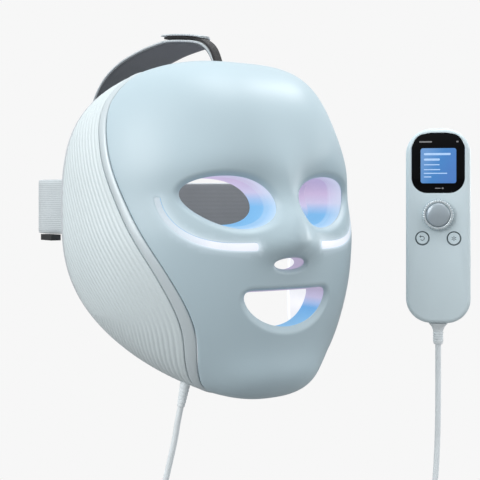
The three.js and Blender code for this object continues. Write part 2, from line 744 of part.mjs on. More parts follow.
function windowOutline(grow) {
  const width = WINDOW.width + 2 * grow;
  const height = WINDOW.height + 2 * grow;
  return roundedRectangle(0, WINDOW.y, width, height, WINDOW.round + grow);
}

// one half of the remote's casing: a rounded slab from z = 0 to its face, hollowed from behind
function casing() {
  const slab = new THREE.ExtrudeGeometry(remoteOutline(-REMOTE_EDGE), {
    depth: REMOTE_HALF_DEPTH - REMOTE_EDGE - GAP / 2,
    bevelEnabled: true,
    bevelThickness: REMOTE_EDGE,
    bevelSize: REMOTE_EDGE,
    bevelSegments: 3,
    curveSegments: 9,
  });
  slab.translate(0, 0, GAP / 2);
  const half = toSolid(slab).intersect(box(80, 180, 20, 0, 0, 10 + GAP / 2));
  const hollow = prism(remoteOutline(-REMOTE_WALL - 1.2), -1, REMOTE_HALF_DEPTH - REMOTE_WALL, 5);
  return half.subtract(hollow);
}

const buttonHoles = [-1, 1].map((side) => rod(BUTTON_RADIUS + 0.35, 4, 12, side * BUTTON_X, BUTTON_Y, 20));
const strainHole = (() => {
  const geometry = new THREE.CylinderGeometry(3.1, 3.1, 12, 20);
  geometry.translate(0, -REMOTE_HEIGHT / 2, 0);
  return toSolid(geometry);
})();

const frontCover = cutAll(casing(), [
  prism(windowOutline(GAP), 4, 12, 5),
  rod(3.6, 4, 12, 0, DIAL_Y, 16),
  ...buttonHoles,
  strainHole,
]);
addPart('remote_front_cover', frontCover, remotePlastic, remote);

const SCREW_PLACES = [[-15, 50], [15, 50], [-15, -50], [15, -50]];
const backHalf = casing().rotate([0, 180, 0]);
const screwPosts = SCREW_PLACES.map(([x, y]) => rod(3.4, -8, -2.4, x, y, 10));
const screwCuts = SCREW_PLACES.flatMap(([x, y]) => [
  rod(2.6, -10, -5.9, x, y, 10),
  rod(1.6, -10, 2, x, y, 10),
]);
const socketHole = box(8, 10.4, 4.4, 20, -30, -2.9);
const backCover = cutAll(
  screwPosts.reduce((whole, post) => whole.add(post), backHalf),
  [...screwCuts, socketHole, strainHole],
);
addPart('remote_back_cover', backCover, remotePlastic, remote);

const screwProfile = [
  new THREE.Vector2(0, 0),
  new THREE.Vector2(2.2, 0),
  new THREE.Vector2(2.2, 1.6),
  new THREE.Vector2(1.2, 1.6),
  new THREE.Vector2(1.2, 7.4),
  new THREE.Vector2(0, 7.4),
];
SCREW_PLACES.forEach(([x, y], index) => {
  const start = new THREE.Vector3(x, y, -7.8);
  const screw = lathedAlong(screwProfile, start, new THREE.Vector3(0, 0, 1), 8);
  addPart(`remote_screw_${index + 1}`, screw, steel, remote);
});

const windowPlate = prism(windowOutline(0), REMOTE_HALF_DEPTH - 1.2, REMOTE_HALF_DEPTH, 5);
addPart('display_window', windowPlate, blackGlass, remote);
addPart('display_panel', box(30, 34, 2.6, 0, WINDOW.y - 0.5, 6.1), screenGlass, remote);

function knurledRing() {
  const TEETH = 36;
  const points = [];
  for (let step = 0; step < 2 * TEETH; step += 1) {
    const angle = Math.PI * step / TEETH;
    const radius = step % 2 === 0 ? DIAL_RADIUS : DIAL_RADIUS - 0.7;
    points.push(new THREE.Vector2(radius * Math.cos(angle), DIAL_Y + radius * Math.sin(angle)));
  }
  const shape = new THREE.Shape(points);
  shape.holes.push(new THREE.Path().absellipse(0, DIAL_Y, 8.5, 8.5, 0, 2 * Math.PI));
  return prism(shape, DIAL_FOOT, DIAL_FOOT + 2.6, 12);
}

addPart('dial_ring', knurledRing(), dialPlastic, remote);

const capProfile = [
  new THREE.Vector2(0, 1.2),
  new THREE.Vector2(2.0, 1.2),
  new THREE.Vector2(2.0, 0),
  new THREE.Vector2(8.1, 0),
  new THREE.Vector2(8.1, 2.9),
  new THREE.Vector2(7.6, 3.5),
  new THREE.Vector2(5.2, 4.1),
  new THREE.Vector2(2.6, 4.3),
  new THREE.Vector2(0, 4.4),
];
const FORWARD = new THREE.Vector3(0, 0, 1);
const dialCap = lathedAlong(capProfile, new THREE.Vector3(0, DIAL_Y, DIAL_FOOT), FORWARD, 24);
addPart('dial_cap', dialCap, dialPlastic, remote);

const shaftProfile = [
  new THREE.Vector2(0, 0),
  new THREE.Vector2(3, 0),
  new THREE.Vector2(3, 3),
  new THREE.Vector2(1.6, 3),
  new THREE.Vector2(1.6, 6.9),
  new THREE.Vector2(0, 6.9),
];
const dialShaft = lathedAlong(shaftProfile, new THREE.Vector3(0, DIAL_Y, 3.8), FORWARD, 12);
addPart('dial_shaft', dialShaft, steel, remote);

const BOARD_FACE = 1.9;
const boardOutline = roundedRectangle(0, -2, 34, 112, 6);
addPart('control_board', prism(boardOutline, 0.4, BOARD_FACE, 6), darkBoard, remote);
addPart('rotary_encoder', box(12, 12, 0.8, 0, DIAL_Y, BOARD_FACE + 0.7), blackPlastic, remote);

const buttonNames = ['button_back', 'button_power'];
const switchNames = ['switch_back', 'switch_power'];
[-1, 1].forEach((side, index) => {
  const x = side * BUTTON_X;
  addPart(buttonNames[index], rod(BUTTON_RADIUS, 6.4, 9.5, x, BUTTON_Y, 28), remotePlastic, remote);
  const tact = box(6, 6, 2.4, x, BUTTON_Y, BOARD_FACE + GAP + 1.2).add(rod(1.6, 4, 5.6, x, BUTTON_Y, 12));
  addPart(switchNames[index], tact, blackPlastic, remote);
});

addPart('battery_cell', prism(roundedRectangle(-2, 5, 28, 62, 2), -6.4, -0.2, 4), blackPlastic, remote);

const socketSolid = box(7.4, 9, 3.2, 17.2, -30, -2.9).subtract(box(6, 7.6, 1.8, 18.9, -30, -2.9));
addPart('charge_socket', socketSolid, steel, remote);

// the remote's tapered strain relief, whose flare covers the hole in the casing's lower end
const reliefProfile = [
  new THREE.Vector2(0, -5),
  new THREE.Vector2(2.7, -5),
  new THREE.Vector2(2.7, GAP),
  new THREE.Vector2(6.6, GAP),
  new THREE.Vector2(4.4, 3.2),
  new THREE.Vector2(3.6, 6),
  new THREE.Vector2(3.2, STRAIN_RELIEF_LENGTH),
  new THREE.Vector2(0, STRAIN_RELIEF_LENGTH),
];
const reliefStart = new THREE.Vector3(0, -REMOTE_HEIGHT / 2, 0);
const relief = lathedAlong(reliefProfile, reliefStart, new THREE.Vector3(0, -1, 0), 14);
addPart('remote_strain_relief', relief, cordPlastic, remote);

remote.position.set(REMOTE.x, REMOTE.y, REMOTE.z);
remote.rotation.y = REMOTE.turn;
object.add(remote);

const coilExit = new THREE.Vector3(Math.cos(COIL.heading), -1, Math.sin(COIL.heading)).normalize();

// the stretch from the coil up to the remote hangs in one slack bend
addPart('cord_remote_side', tube([
  coilPoint(COIL_END).addScaledVector(coilExit, COIL_LEAD),
  new THREE.Vector3(-10, -256, 58),
  new THREE.Vector3(8, -268, 63.5),
  new THREE.Vector3(28, -277, 69.5),
  new THREE.Vector3(50, -281.5, 76),
  new THREE.Vector3(73, -279.5, 82.5),
  new THREE.Vector3(94, -270, 88),
  new THREE.Vector3(111, -253, 91.8),
  new THREE.Vector3(122.5, -230, 93.8),
  new THREE.Vector3(129.5, -203, 94.6),
  new THREE.Vector3(133.6, -172, 94.8),
  new THREE.Vector3(135.6, -140, 94.8),
  new THREE.Vector3(136, -112, 94.8),
  new THREE.Vector3(136, -96, 94.8),
  remoteExit.clone().add(new THREE.Vector3(0, -GAP, 0)),
], 8, 36), cordPlastic);

// the tie that keeps the coil's turns together
function cordTie() {
  const shape = new THREE.Shape();
  const outer = roundedRectangle(0, 0, 2 * (coilHalf + 1.8), 9.2, 1.5);
  const hole = roundedRectangle(0, 0, 2 * (coilHalf + 0.6), 6.4, 1);
  shape.setFromPoints(outer.getPoints(4));
  shape.holes.push(new THREE.Path(hole.getPoints(4)));
  const geometry = new THREE.ExtrudeGeometry(shape, { depth: 6, bevelEnabled: false, curveSegments: 4 });
  geometry.translate(0, 0, -3);
  // the band's hole looks along the cord at the top of the coil
  geometry.rotateY(Math.PI / 2 - COIL.heading);
  geometry.translate(COIL.x, COIL.y + COIL.radius, COIL.z);
  return toSolid(geometry);
}
addPart('cord_tie', cordTie(), blackPlastic);

object.rotation.x = Math.PI / 2;

export default object;
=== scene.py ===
import bpy
import bmesh
import math
import numpy as np
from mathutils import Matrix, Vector
from mathutils.geometry import delaunay_2d_cdt

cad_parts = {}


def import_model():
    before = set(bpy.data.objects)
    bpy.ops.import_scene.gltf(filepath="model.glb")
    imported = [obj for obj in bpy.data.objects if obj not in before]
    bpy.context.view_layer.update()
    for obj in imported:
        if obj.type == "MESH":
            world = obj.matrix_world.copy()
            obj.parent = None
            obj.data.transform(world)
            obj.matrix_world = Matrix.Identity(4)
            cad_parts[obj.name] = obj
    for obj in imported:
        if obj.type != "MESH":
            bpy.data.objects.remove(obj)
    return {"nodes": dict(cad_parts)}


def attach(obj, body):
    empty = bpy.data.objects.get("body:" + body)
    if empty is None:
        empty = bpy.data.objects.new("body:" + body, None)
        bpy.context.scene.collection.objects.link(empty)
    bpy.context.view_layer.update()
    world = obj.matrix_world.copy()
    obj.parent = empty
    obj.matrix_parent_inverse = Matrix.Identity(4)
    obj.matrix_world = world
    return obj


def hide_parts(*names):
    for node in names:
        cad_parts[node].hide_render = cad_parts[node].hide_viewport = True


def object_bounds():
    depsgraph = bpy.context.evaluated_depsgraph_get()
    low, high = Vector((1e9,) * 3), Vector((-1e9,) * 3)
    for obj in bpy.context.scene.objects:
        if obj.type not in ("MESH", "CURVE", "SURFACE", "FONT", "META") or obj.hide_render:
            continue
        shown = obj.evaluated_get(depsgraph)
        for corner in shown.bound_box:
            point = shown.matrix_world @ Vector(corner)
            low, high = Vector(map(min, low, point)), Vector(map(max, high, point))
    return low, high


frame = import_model()
nodes = frame["nodes"]
cad_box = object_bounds()

# Everything below is worked out in the face frame, in millimetres: x to the wearer's left, y up
# and f out of the face. world() turns a point of it into the shared frame, in metres.
MM = 0.001


def world(points):
    p = np.asarray(points, float)
    return np.stack([p[..., 0], -p[..., 2], p[..., 1]], -1) * MM


# ------------------------------------------------------------------ camera
LINE_OF_SIGHT = Vector((0.5687, 0.8226, 0.0))
camera_data = bpy.data.cameras.new("camera")
camera_data.sensor_width = 36
camera_data.lens = 76.5
camera_data.shift_y = -0.0833
camera_data.clip_start = 0.05
camera_data.clip_end = 50
camera = bpy.data.objects.new("camera", camera_data)
camera.location = (-0.3881, -0.6071, 0.020)
camera.rotation_mode = "QUATERNION"
camera.rotation_quaternion = LINE_OF_SIGHT.to_track_quat("-Z", "Y")
bpy.context.scene.collection.objects.link(camera)
bpy.context.scene.camera = camera
bpy.context.scene.view_settings.view_transform = "Standard"


# ------------------------------------------------------------------ materials
def new_nodes(name):
    mat = bpy.data.materials.new(name)
    mat.use_nodes = True
    tree = mat.node_tree
    shader = next(n for n in tree.nodes if n.type == "BSDF_PRINCIPLED")
    return mat, tree, shader


def link(tree, a, b):
    tree.links.new(a, b)


def math_node(tree, kind, a, b=None, clamp=False):
    node = tree.nodes.new("ShaderNodeMath")
    node.operation = kind
    node.use_clamp = clamp
    for socket, value in zip(node.inputs, (a, b)):
        if value is None:
            continue
        if isinstance(value, (int, float)):
            socket.default_value = value
        else:
            link(tree, value, socket)
    return node.outputs[0]


def noise(tree, vector, scale, detail=3.0, rough=0.55):
    node = tree.nodes.new("ShaderNodeTexNoise")
    node.inputs["Scale"].default_value = scale
    node.inputs["Detail"].default_value = detail
    node.inputs["Roughness"].default_value = rough
    link(tree, vector, node.inputs["Vector"])
    return node.outputs["Fac"]


def ramp(tree, fac, stops, kind="LINEAR"):
    node = tree.nodes.new("ShaderNodeValToRGB")
    node.color_ramp.interpolation = kind
    while len(node.color_ramp.elements) < len(stops):
        node.color_ramp.elements.new(0.5)
    for element, (place, colour) in zip(node.color_ramp.elements, stops):
        element.position = place
        element.color = (*colour, 1)
    link(tree, fac, node.inputs["Fac"])
    return node.outputs["Color"]


def mix(tree, fac, a, b, kind="MIX"):
    node = tree.nodes.new("ShaderNodeMix")
    node.data_type = "RGBA"
    node.blend_type = kind
    for socket, value in ((node.inputs[0], fac), (node.inputs[6], a), (node.inputs[7], b)):
        if isinstance(value, tuple):
            socket.default_value = (*value, 1)
        elif isinstance(value, (int, float)):
            socket.default_value = value
        else:
            link(tree, value, socket)
    return node.outputs[2]


def attribute(tree, name, output="Fac"):
    node = tree.nodes.new("ShaderNodeAttribute")
    node.attribute_name = name
    return node.outputs[output]


def place(tree, stretch=(1, 1, 1)):
    coordinates = tree.nodes.new("ShaderNodeTexCoord")
    mapping = tree.nodes.new("ShaderNodeMapping")
    mapping.inputs["Scale"].default_value = stretch
    link(tree, coordinates.outputs["Object"], mapping.inputs["Vector"])
    return mapping.outputs["Vector"]


def bump(tree, height, distance, strength=1.0):
    node = tree.nodes.new("ShaderNodeBump")
    node.inputs["Strength"].default_value = strength
    node.inputs["Distance"].default_value = distance
    link(tree, height, node.inputs["Height"])
    return node.outputs["Normal"]


def moulded(name, colour, rough=0.45, metal=0.0, vary=0.03, patch=45, grain=1800, depth=0.00002,
            stretch=(1, 1, 1), spread=0.08, coat=0.0, speck=0.0, sheen=0.0):
    """A hard or rubbery surface: slow colour drift, fine speckle, uneven gloss and a moulded grain."""
    mat, tree, shader = new_nodes(name)
    vector = place(tree, stretch)
    slow = noise(tree, vector, patch)
    fine = noise(tree, vector, grain, 2.0)
    low = tuple(c * (1 - vary) for c in colour)
    high = tuple(min(c * (1 + vary), 1) for c in colour)
    tone = ramp(tree, slow, [(0.3, low), (0.7, high)])
    if speck:
        shade = ramp(tree, fine, [(0.35, (1 - speck,) * 3), (0.65, (1, 1, 1))])
        tone = mix(tree, 1.0, tone, shade, "MULTIPLY")
    link(tree, tone, shader.inputs["Base Color"])
    gloss = math_node(tree, "MULTIPLY_ADD", slow, spread)
    gloss.node.inputs[2].default_value = rough - spread / 2
    link(tree, gloss, shader.inputs["Roughness"])
    link(tree, bump(tree, fine, depth), shader.inputs["Normal"])
    shader.inputs["Metallic"].default_value = metal
    shader.inputs["Coat Weight"].default_value = coat
    shader.inputs["Coat Roughness"].default_value = 0.2
    shader.inputs["Sheen Weight"].default_value = sheen
    mat.diffuse_color = (*colour, 1)
    return mat


def woven(name, colour, second, across=1.3, along=0.9, depth=0.00012, rough=0.9, sheen=0.25):
    """Knitted or woven webbing, laid out in millimetres by the mesh attribute "lay"."""
    mat, tree, shader = new_nodes(name)
    lay = attribute(tree, "lay", "Vector")
    parts = tree.nodes.new("ShaderNodeSeparateXYZ")
    link(tree, lay, parts.inputs[0])
    u = math_node(tree, "MULTIPLY", parts.outputs[0], 2 * math.pi / along)
    v = math_node(tree, "MULTIPLY", parts.outputs[1], 2 * math.pi / across)
    half = math_node(tree, "MULTIPLY", v, 0.5)
    turn = math_node(tree, "MULTIPLY", math_node(tree, "SIGN", math_node(tree, "SINE", half)), 1.2)
    wale = math_node(tree, "ABSOLUTE", math_node(tree, "SINE", half))
    course = math_node(tree, "SINE", math_node(tree, "ADD", u, turn))
    height = math_node(tree, "MULTIPLY", wale, math_node(tree, "MULTIPLY_ADD", course, 0.35))
    height.node.inputs[1].links[0].from_node.inputs[2].default_value = 0.65
    fuzz = noise(tree, place(tree), 2600, 2.0)
    drift = noise(tree, place(tree), 60)
    thread = math_node(tree, "MULTIPLY_ADD", fuzz, 0.45)
    link(tree, height, thread.node.inputs[2])
    tone = ramp(tree, thread, [(0.12, second), (0.75, colour)])
    shade = ramp(tree, drift, [(0.3, (0.93, 0.93, 0.93)), (0.7, (1, 1, 1))])
    link(tree, mix(tree, 1.0, tone, shade, "MULTIPLY"), shader.inputs["Base Color"])
    link(tree, bump(tree, thread, depth), shader.inputs["Normal"])
    shader.inputs["Roughness"].default_value = rough
    shader.inputs["Sheen Weight"].default_value = sheen
    return mat


def lit(name, colour_of, strength, base=(0.7, 0.75, 0.8), rough=0.35, seams=None):
    """A frosted diffuser lit from behind: colour_of(tree) gives its glow."""
    mat, tree, shader = new_nodes(name)
    glow = colour_of(tree)
    vector = place(tree)
    cloud = ramp(tree, noise(tree, vector, 70), [(0.3, (0.94, 0.94, 0.94)), (0.7, (1, 1, 1))])
    glow = mix(tree, 1.0, glow, cloud, "MULTIPLY")
    if seams is not None:
        glow = mix(tree, seams(tree), glow, (0.25, 0.28, 0.4))
    link(tree, glow, shader.inputs["Emission Color"])
    shader.inputs["Emission Strength"].default_value = strength
    tint = ramp(tree, noise(tree, vector, 900, 2), [(0.3, tuple(c * 0.9 for c in base)), (0.7, base)])
    link(tree, tint, shader.inputs["Base Color"])
    shader.inputs["Roughness"].default_value = rough
    link(tree, bump(tree, noise(tree, vector, 1500, 2), 0.00002), shader.inputs["Normal"])
    return mat


SHELL_BLUE = (0.43, 0.54, 0.59)


def shell_material():
    mat = moulded("shell_satin_plastic_painted_glow", SHELL_BLUE, rough=0.4, vary=0.012, patch=18, grain=2600,
                  depth=0.000012, spread=0.05)
    tree = mat.node_tree
    shader = next(n for n in tree.nodes if n.type == "BSDF_PRINCIPLED")
    # Painted light: the under-eye strips' glow is painted onto the shell round them as a faint emission.
    painted_strip_glow = attribute(tree, "painted_strip_glow")
    glow = ramp(tree, painted_strip_glow, [(0.0, (0, 0, 0)), (1.0, (0.86, 0.9, 1.0))])
    link(tree, glow, shader.inputs["Emission Color"])
    shader.inputs["Emission Strength"].default_value = 0.34
    return mat


def tunnel_colour(tree):
    """Lilac and pink at the top, sky blue below; the change is higher on the wearer's right."""
    parts = tree.nodes.new("ShaderNodeSeparateXYZ")
    link(tree, place(tree), parts.inputs[0])
    lean = math_node(tree, "MULTIPLY", parts.outputs[0], 90)
    height = math_node(tree, "MULTIPLY", parts.outputs[2], 1000)
    level = math_node(tree, "ADD", height, lean)
    fac = math_node(tree, "MULTIPLY_ADD", level, 1 / 40)
    fac.node.inputs[2].default_value = -0.05
    return ramp(tree, fac, [
        (0.05, (0.13, 0.43, 0.76)),
        (0.32, (0.16, 0.46, 0.80)),
        (0.44, (0.36, 0.52, 0.80)),
        (0.54, (0.60, 0.56, 0.78)),
        (0.70, (0.58, 0.46, 0.68)),
        (0.88, (0.42, 0.34, 0.55)),
    ])


def wall_colour(tree):
    """The wash of light on a tunnel's wall, paler towards the front."""
    deep = ramp(tree, attribute(tree, "deep"), [(0.1, (0.42,) * 3), (0.44, (0.75,) * 3), (0.5, (1, 1, 1))])
    return mix(tree, deep, (0.66, 0.78, 0.90), tunnel_colour(tree))


def mouth_colour(tree):
    parts = tree.nodes.new("ShaderNodeSeparateXYZ")
    link(tree, place(tree), parts.inputs[0])
    fac = math_node(tree, "MULTIPLY_ADD", parts.outputs[2], 1000 / 30)
    fac.node.inputs[2].default_value = 65 / 30
    return ramp(tree, fac, [
        (0.15, (0.20, 0.46, 0.74)),
        (0.50, (0.12, 0.38, 0.74)),
        (0.60, (0.36, 0.48, 0.76)),
        (0.72, (0.52, 0.48, 0.68)),
        (0.90, (0.42, 0.36, 0.50)),
    ])


def liner_colour(tree):
    spot = attribute(tree, "spot")
    parts = tree.nodes.new("ShaderNodeSeparateXYZ")
    link(tree, place(tree), parts.inputs[0])
    high = math_node(tree, "MULTIPLY_ADD", parts.outputs[2], 1000 / 18, clamp=True)
    high.node.inputs[2].default_value = 1.3
    wash = mix(tree, high, (0.86, 0.86, 0.88), tunnel_colour(tree))
    hot = ramp(tree, spot, [(0.0, (0, 0, 0)), (1.0, (0.4, 0.38, 0.45))])
    return mix(tree, 1.0, wash, hot, "ADD")


def glow_colour(tree):
    along = attribute(tree, "along")
    stops = [(0.12, (0.26, 0.34, 0.38)), (0.4, (0.60, 0.68, 0.76)), (0.8, (0.86, 0.87, 0.95))]
    return ramp(tree, along, stops)


def bead_painted_glow(tree):
    """The rim's bead is given painted light: the liner's glow painted on its side facing the liner, less so
    at the crown and the chin.
    """
    parts = tree.nodes.new("ShaderNodeSeparateXYZ")
    link(tree, place(tree), parts.inputs[0])
    # Painted light: the liner's glow painted on the bead, dim near the middle of the crown and the chin,
    # bright towards the sides.
    reach = math_node(tree, "MULTIPLY", math_node(tree, "ABSOLUTE", parts.outputs[0]), 1000 / 95)
    carried = ramp(tree, reach, [(0.3, (0.12, 0.15, 0.17)), (0.7, (0.86, 0.86, 0.87))])
    return mix(tree, attribute(tree, "painted_glow_inward"), (0.03, 0.035, 0.04), carried)


def screen_colour(tree):
    parts = tree.nodes.new("ShaderNodeSeparateXYZ")
    link(tree, attribute(tree, "lay", "Vector"), parts.inputs[0])
    side = math_node(tree, "MULTIPLY_ADD", parts.outputs[0], 1 / 26)
    side.node.inputs[2].default_value = 0.5
    low = math_node(tree, "MULTIPLY_ADD", parts.outputs[1], -1 / 60)
    link(tree, side, low.node.inputs[2])
    stops = [(0.05, (0.13, 0.28, 0.56)), (0.5, (0.05, 0.20, 0.50)), (0.95, (0.06, 0.17, 0.47))]
    return ramp(tree, low, stops)


def ink_colour(dark, light):
    """A lit print whose strength varies a little over its surface."""
    return lambda tree: ramp(tree, noise(tree, place(tree), 400), [(0.3, dark), (0.7, light)])


shell_plastic = shell_material()
panel_plastic = moulded("panel_satin_plastic", (0.60, 0.67, 0.685), rough=0.42, vary=0.012, patch=20,
                        grain=2600, depth=0.000012, spread=0.05)
trim_metal = moulded("trim_satin_metal", (0.53, 0.595, 0.62), rough=0.36, metal=0.12, vary=0.03, patch=30,
                     grain=900, stretch=(1, 1, 0.15), depth=0.000008)
FROST = (0.10, 0.12, 0.15)
tunnel = lit("tunnel_frosted", wall_colour, 0.95, base=FROST, rough=0.7)
mouth_tunnel = lit("mouth_frosted", mouth_colour, 0.95, base=FROST, rough=0.8)
liner_lit = lit("liner_frosted", liner_colour, 0.95, base=FROST, rough=0.7)
glow = lit("light_strip_glow", glow_colour, 0.78, base=(0.3, 0.33, 0.36), rough=0.3)
# Painted light: the silicone bead carries a painted glow of the liner's light as emission.
bead_silicone = lit("rim_bead_silicone_painted_glow", bead_painted_glow, 0.8, base=(0.5, 0.53, 0.55), rough=0.6)
silicone = moulded("silicone_soft", (0.42, 0.52, 0.57), rough=0.7, vary=0.04, grain=2200, depth=0.00003)
knit_light = woven("strap_knit_light", (0.60, 0.65, 0.67), (0.36, 0.41, 0.43))
knit_grey = woven("strap_knit_grey", (0.215, 0.228, 0.238), (0.12, 0.13, 0.135), across=1.1, along=0.8)
knit_dark = woven("strap_knit_dark", (0.135, 0.150, 0.158), (0.07, 0.08, 0.085), across=1.1, along=0.8)
hook_black = woven("hook_tape_black", (0.012, 0.012, 0.013), (0.003, 0.003, 0.003), 0.7, 0.7, 0.0002)
black_plastic = moulded("black_moulded_plastic", (0.016, 0.017, 0.018), rough=0.48, vary=0.15)
remote_plastic = moulded("remote_satin_plastic", (0.60, 0.70, 0.735), rough=0.4, vary=0.012, patch=25,
                         grain=2600, depth=0.000012, spread=0.05)
dial_metal = moulded("dial_satin_cap", (0.40, 0.46, 0.50), rough=0.3, metal=0.35, vary=0.04, patch=120,
                     grain=3000, depth=0.000008)
knurl = moulded("dial_bright_knurl", (0.70, 0.77, 0.80), rough=0.22, metal=0.6, vary=0.05, patch=200,
                grain=2000, depth=0.00001)
glass = moulded("black_glass", (0.002, 0.002, 0.0025), rough=0.14, vary=0.2, grain=200, depth=0.000001,
                spread=0.04)
for node in glass.node_tree.nodes:
    if node.type == "BSDF_PRINCIPLED":
        node.inputs["Specular IOR Level"].default_value = 0.12
screen = lit("screen_blue", screen_colour, 1.0, base=(0.02, 0.05, 0.1), rough=0.2)
screen_ink = lit("screen_white", ink_colour((0.30, 0.50, 0.82), (0.40, 0.60, 0.90)), 0.85,
                 base=(0.2, 0.25, 0.3), rough=0.3)
grey_ink = lit("screen_grey", ink_colour((0.13, 0.13, 0.14), (0.18, 0.18, 0.19)), 0.8,
               base=(0.1, 0.1, 0.1), rough=0.3)
icon_ink = moulded("icon_print", (0.085, 0.115, 0.13), rough=0.5, vary=0.1)
cord_vinyl = moulded("cord_vinyl", (0.74, 0.79, 0.81), rough=0.5, vary=0.03, patch=60, grain=1500,
                     depth=0.00003)
steel = moulded("steel_turned", (0.58, 0.60, 0.62), rough=0.3, metal=1, vary=0.06, grain=1200)
board_white = moulded("board_white_mask", (0.74, 0.76, 0.77), rough=0.5, vary=0.06, patch=160, speck=0.1)
board_green = moulded("board_green_mask", (0.03, 0.10, 0.06), rough=0.45, vary=0.3, patch=300, speck=0.2)
ceramic = moulded("ceramic_white", (0.80, 0.80, 0.77), rough=0.6, vary=0.04, speck=0.12)
cold_metal = moulded("cold_brushed_metal", (0.66, 0.68, 0.70), rough=0.26, metal=1, vary=0.05, grain=900,
                     stretch=(0.12, 1, 1), depth=0.00001)
battery_wrap = moulded("battery_foil", (0.10, 0.12, 0.14), rough=0.4, metal=0.5, vary=0.12, patch=90)


# ------------------------------------------------------------------ mesh helpers
def make(name, shape, mat, body="mask", replaced=(), values=None, sharp=38):
    """One closed piece from (points, faces) in the face frame. Points that touch are joined."""
    points, faces = shape
    points = np.asarray(points, float)
    mesh = bpy.data.meshes.new(name)
    mesh.from_pydata(world(points).tolist(), [], [list(map(int, f)) for f in faces])
    for key, data in (values or {}).items():
        data = np.asarray(data, np.float32)
        kind, field = ("FLOAT_VECTOR", "vector") if data.ndim == 2 else ("FLOAT", "value")
        mesh.attributes.new(key, kind, "POINT").data.foreach_set(field, data.ravel())
    cleaned = bmesh.new()
    cleaned.from_mesh(mesh)
    bmesh.ops.remove_doubles(cleaned, verts=cleaned.verts, dist=3e-6)
    bmesh.ops.dissolve_degenerate(cleaned, edges=cleaned.edges, dist=1e-6)
    bmesh.ops.recalc_face_normals(cleaned, faces=cleaned.faces)
    cleaned.to_mesh(mesh)
    cleaned.free()
    mesh.polygons.foreach_set("use_smooth", [True] * len(mesh.polygons))
    mesh.set_sharp_from_angle(angle=math.radians(sharp))
    mesh.materials.append(mat)
    piece = bpy.data.objects.new(name, mesh)
    bpy.context.scene.collection.objects.link(piece)
    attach(piece, body)
    if replaced:
        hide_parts(*replaced)
    return piece


def join(*shapes):
    points, faces, base = [], [], 0
    for p, f in shapes:
        p = np.asarray(p, float).reshape(-1, 3)
        points.append(p)
        faces += [[int(i) + base for i in face] for face in f]
        base += len(p)
    return np.concatenate(points), faces


def quads(index, wrap_rows=False, wrap_columns=False):
    if wrap_rows:
        index = np.vstack([index, index[:1]])
    if wrap_columns:
        index = np.hstack([index, index[:, :1]])
    corners = [index[:-1, :-1], index[1:, :-1], index[1:, 1:], index[:-1, 1:]]
    return np.stack(corners, -1).reshape(-1, 4).tolist()


def grid(points, **wrap):
    index = np.arange(points.shape[0] * points.shape[1]).reshape(points.shape[:2])
    return points.reshape(-1, 3), quads(index, **wrap)


def slab(outer, inner):
    """A closed body between two grids of the same size."""
    index = np.arange(outer.shape[0] * outer.shape[1]).reshape(outer.shape[:2])
    count = index.size
    faces = quads(index) + quads(index + count)
    for edge in (index[0], index[-1], index[:, 0], index[:, -1]):
        faces += np.stack([edge[:-1], edge[1:], edge[1:] + count, edge[:-1] + count], -1).tolist()
    return np.concatenate([outer.reshape(-1, 3), inner.reshape(-1, 3)]), faces


def inside(points, polygon):
    x, y = points[:, 0][:, None], points[:, 1][:, None]
    a, b = polygon, np.roll(polygon, -1, 0)
    with np.errstate(divide="ignore", invalid="ignore"):
        cross = (b[:, 0] - a[:, 0]) * (y - a[:, 1]) / (b[:, 1] - a[:, 1]) + a[:, 0]
    hit = ((a[:, 1] > y) != (b[:, 1] > y)) & (x < cross)
    return hit.sum(1) % 2 == 1


def to_line(points, line, closed=False):
    """Distance from each point to a line of points, and whether it lies to the line's left."""
    points = np.asarray(points, float)
    flat = points.reshape(-1, 2)
    a = line if closed else line[:-1]
    b = np.roll(line, -1, 0) if closed else line[1:]
    run = b - a
    off = flat[:, None] - a
    t = np.clip((off * run).sum(-1) / np.maximum((run ** 2).sum(-1), 1e-12), 0, 1)
    gap = np.linalg.norm(off - t[..., None] * run, axis=-1)
    near = gap.argmin(1)
    row = np.arange(len(flat))
    left = run[near, 0] * off[row, near, 1] - run[near, 1] * off[row, near, 0]
    return gap[row, near].reshape(points.shape[:-1]), np.sign(left).reshape(points.shape[:-1])


def triangles(loops, extra, holes_from=1):
    """Triangles between the first loop and the loops after it that are holes, with extra points inside."""
    points, edges = [], []
    for loop in loops:
        base = len(points)
        points += [Vector(p) for p in loop]
        edges += [(base + i, base + (i + 1) % len(loop)) for i in range(len(loop))]
    points += [Vector(p) for p in extra]
    vertices, _, faces, *_ = delaunay_2d_cdt(points, edges, [], 0, 1e-6)
    vertices = np.array([tuple(v) for v in vertices])
    faces = np.array([f for f in faces if len(f) == 3])
    middle = vertices[faces].mean(1)
    keep = inside(middle, np.asarray(loops[0]))
    for hole in loops[holes_from:]:
        keep &= ~inside(middle, np.asarray(hole))
    return vertices, faces[keep]


def sheet_body(vertices, faces, outer, inner):
    """A closed body from a triangulated sheet and its two mapped sides."""
    used = np.unique(faces)
    place_of = -np.ones(len(vertices), int)
    place_of[used] = np.arange(len(used))
    faces = place_of[faces]
    count = len(used)
    sides = np.concatenate([faces[:, [0, 1]], faces[:, [1, 2]], faces[:, [2, 0]]])
    key = np.sort(sides, 1)
    _, first, times = np.unique(key[:, 0] * count + key[:, 1], return_index=True, return_counts=True)
    rim = sides[first[times == 1]]
    walls = np.stack([rim[:, 0], rim[:, 1], rim[:, 1] + count, rim[:, 0] + count], -1)
    points = np.concatenate([outer[used], inner[used]])
    return (points, faces.tolist() + (faces[:, ::-1] + count).tolist() + walls.tolist()), used


def ring(section_rows):
    """A closed ring: each row is a closed loop of points, and the rows close on themselves too."""
    return grid(np.asarray(section_rows), wrap_rows=True, wrap_columns=True)


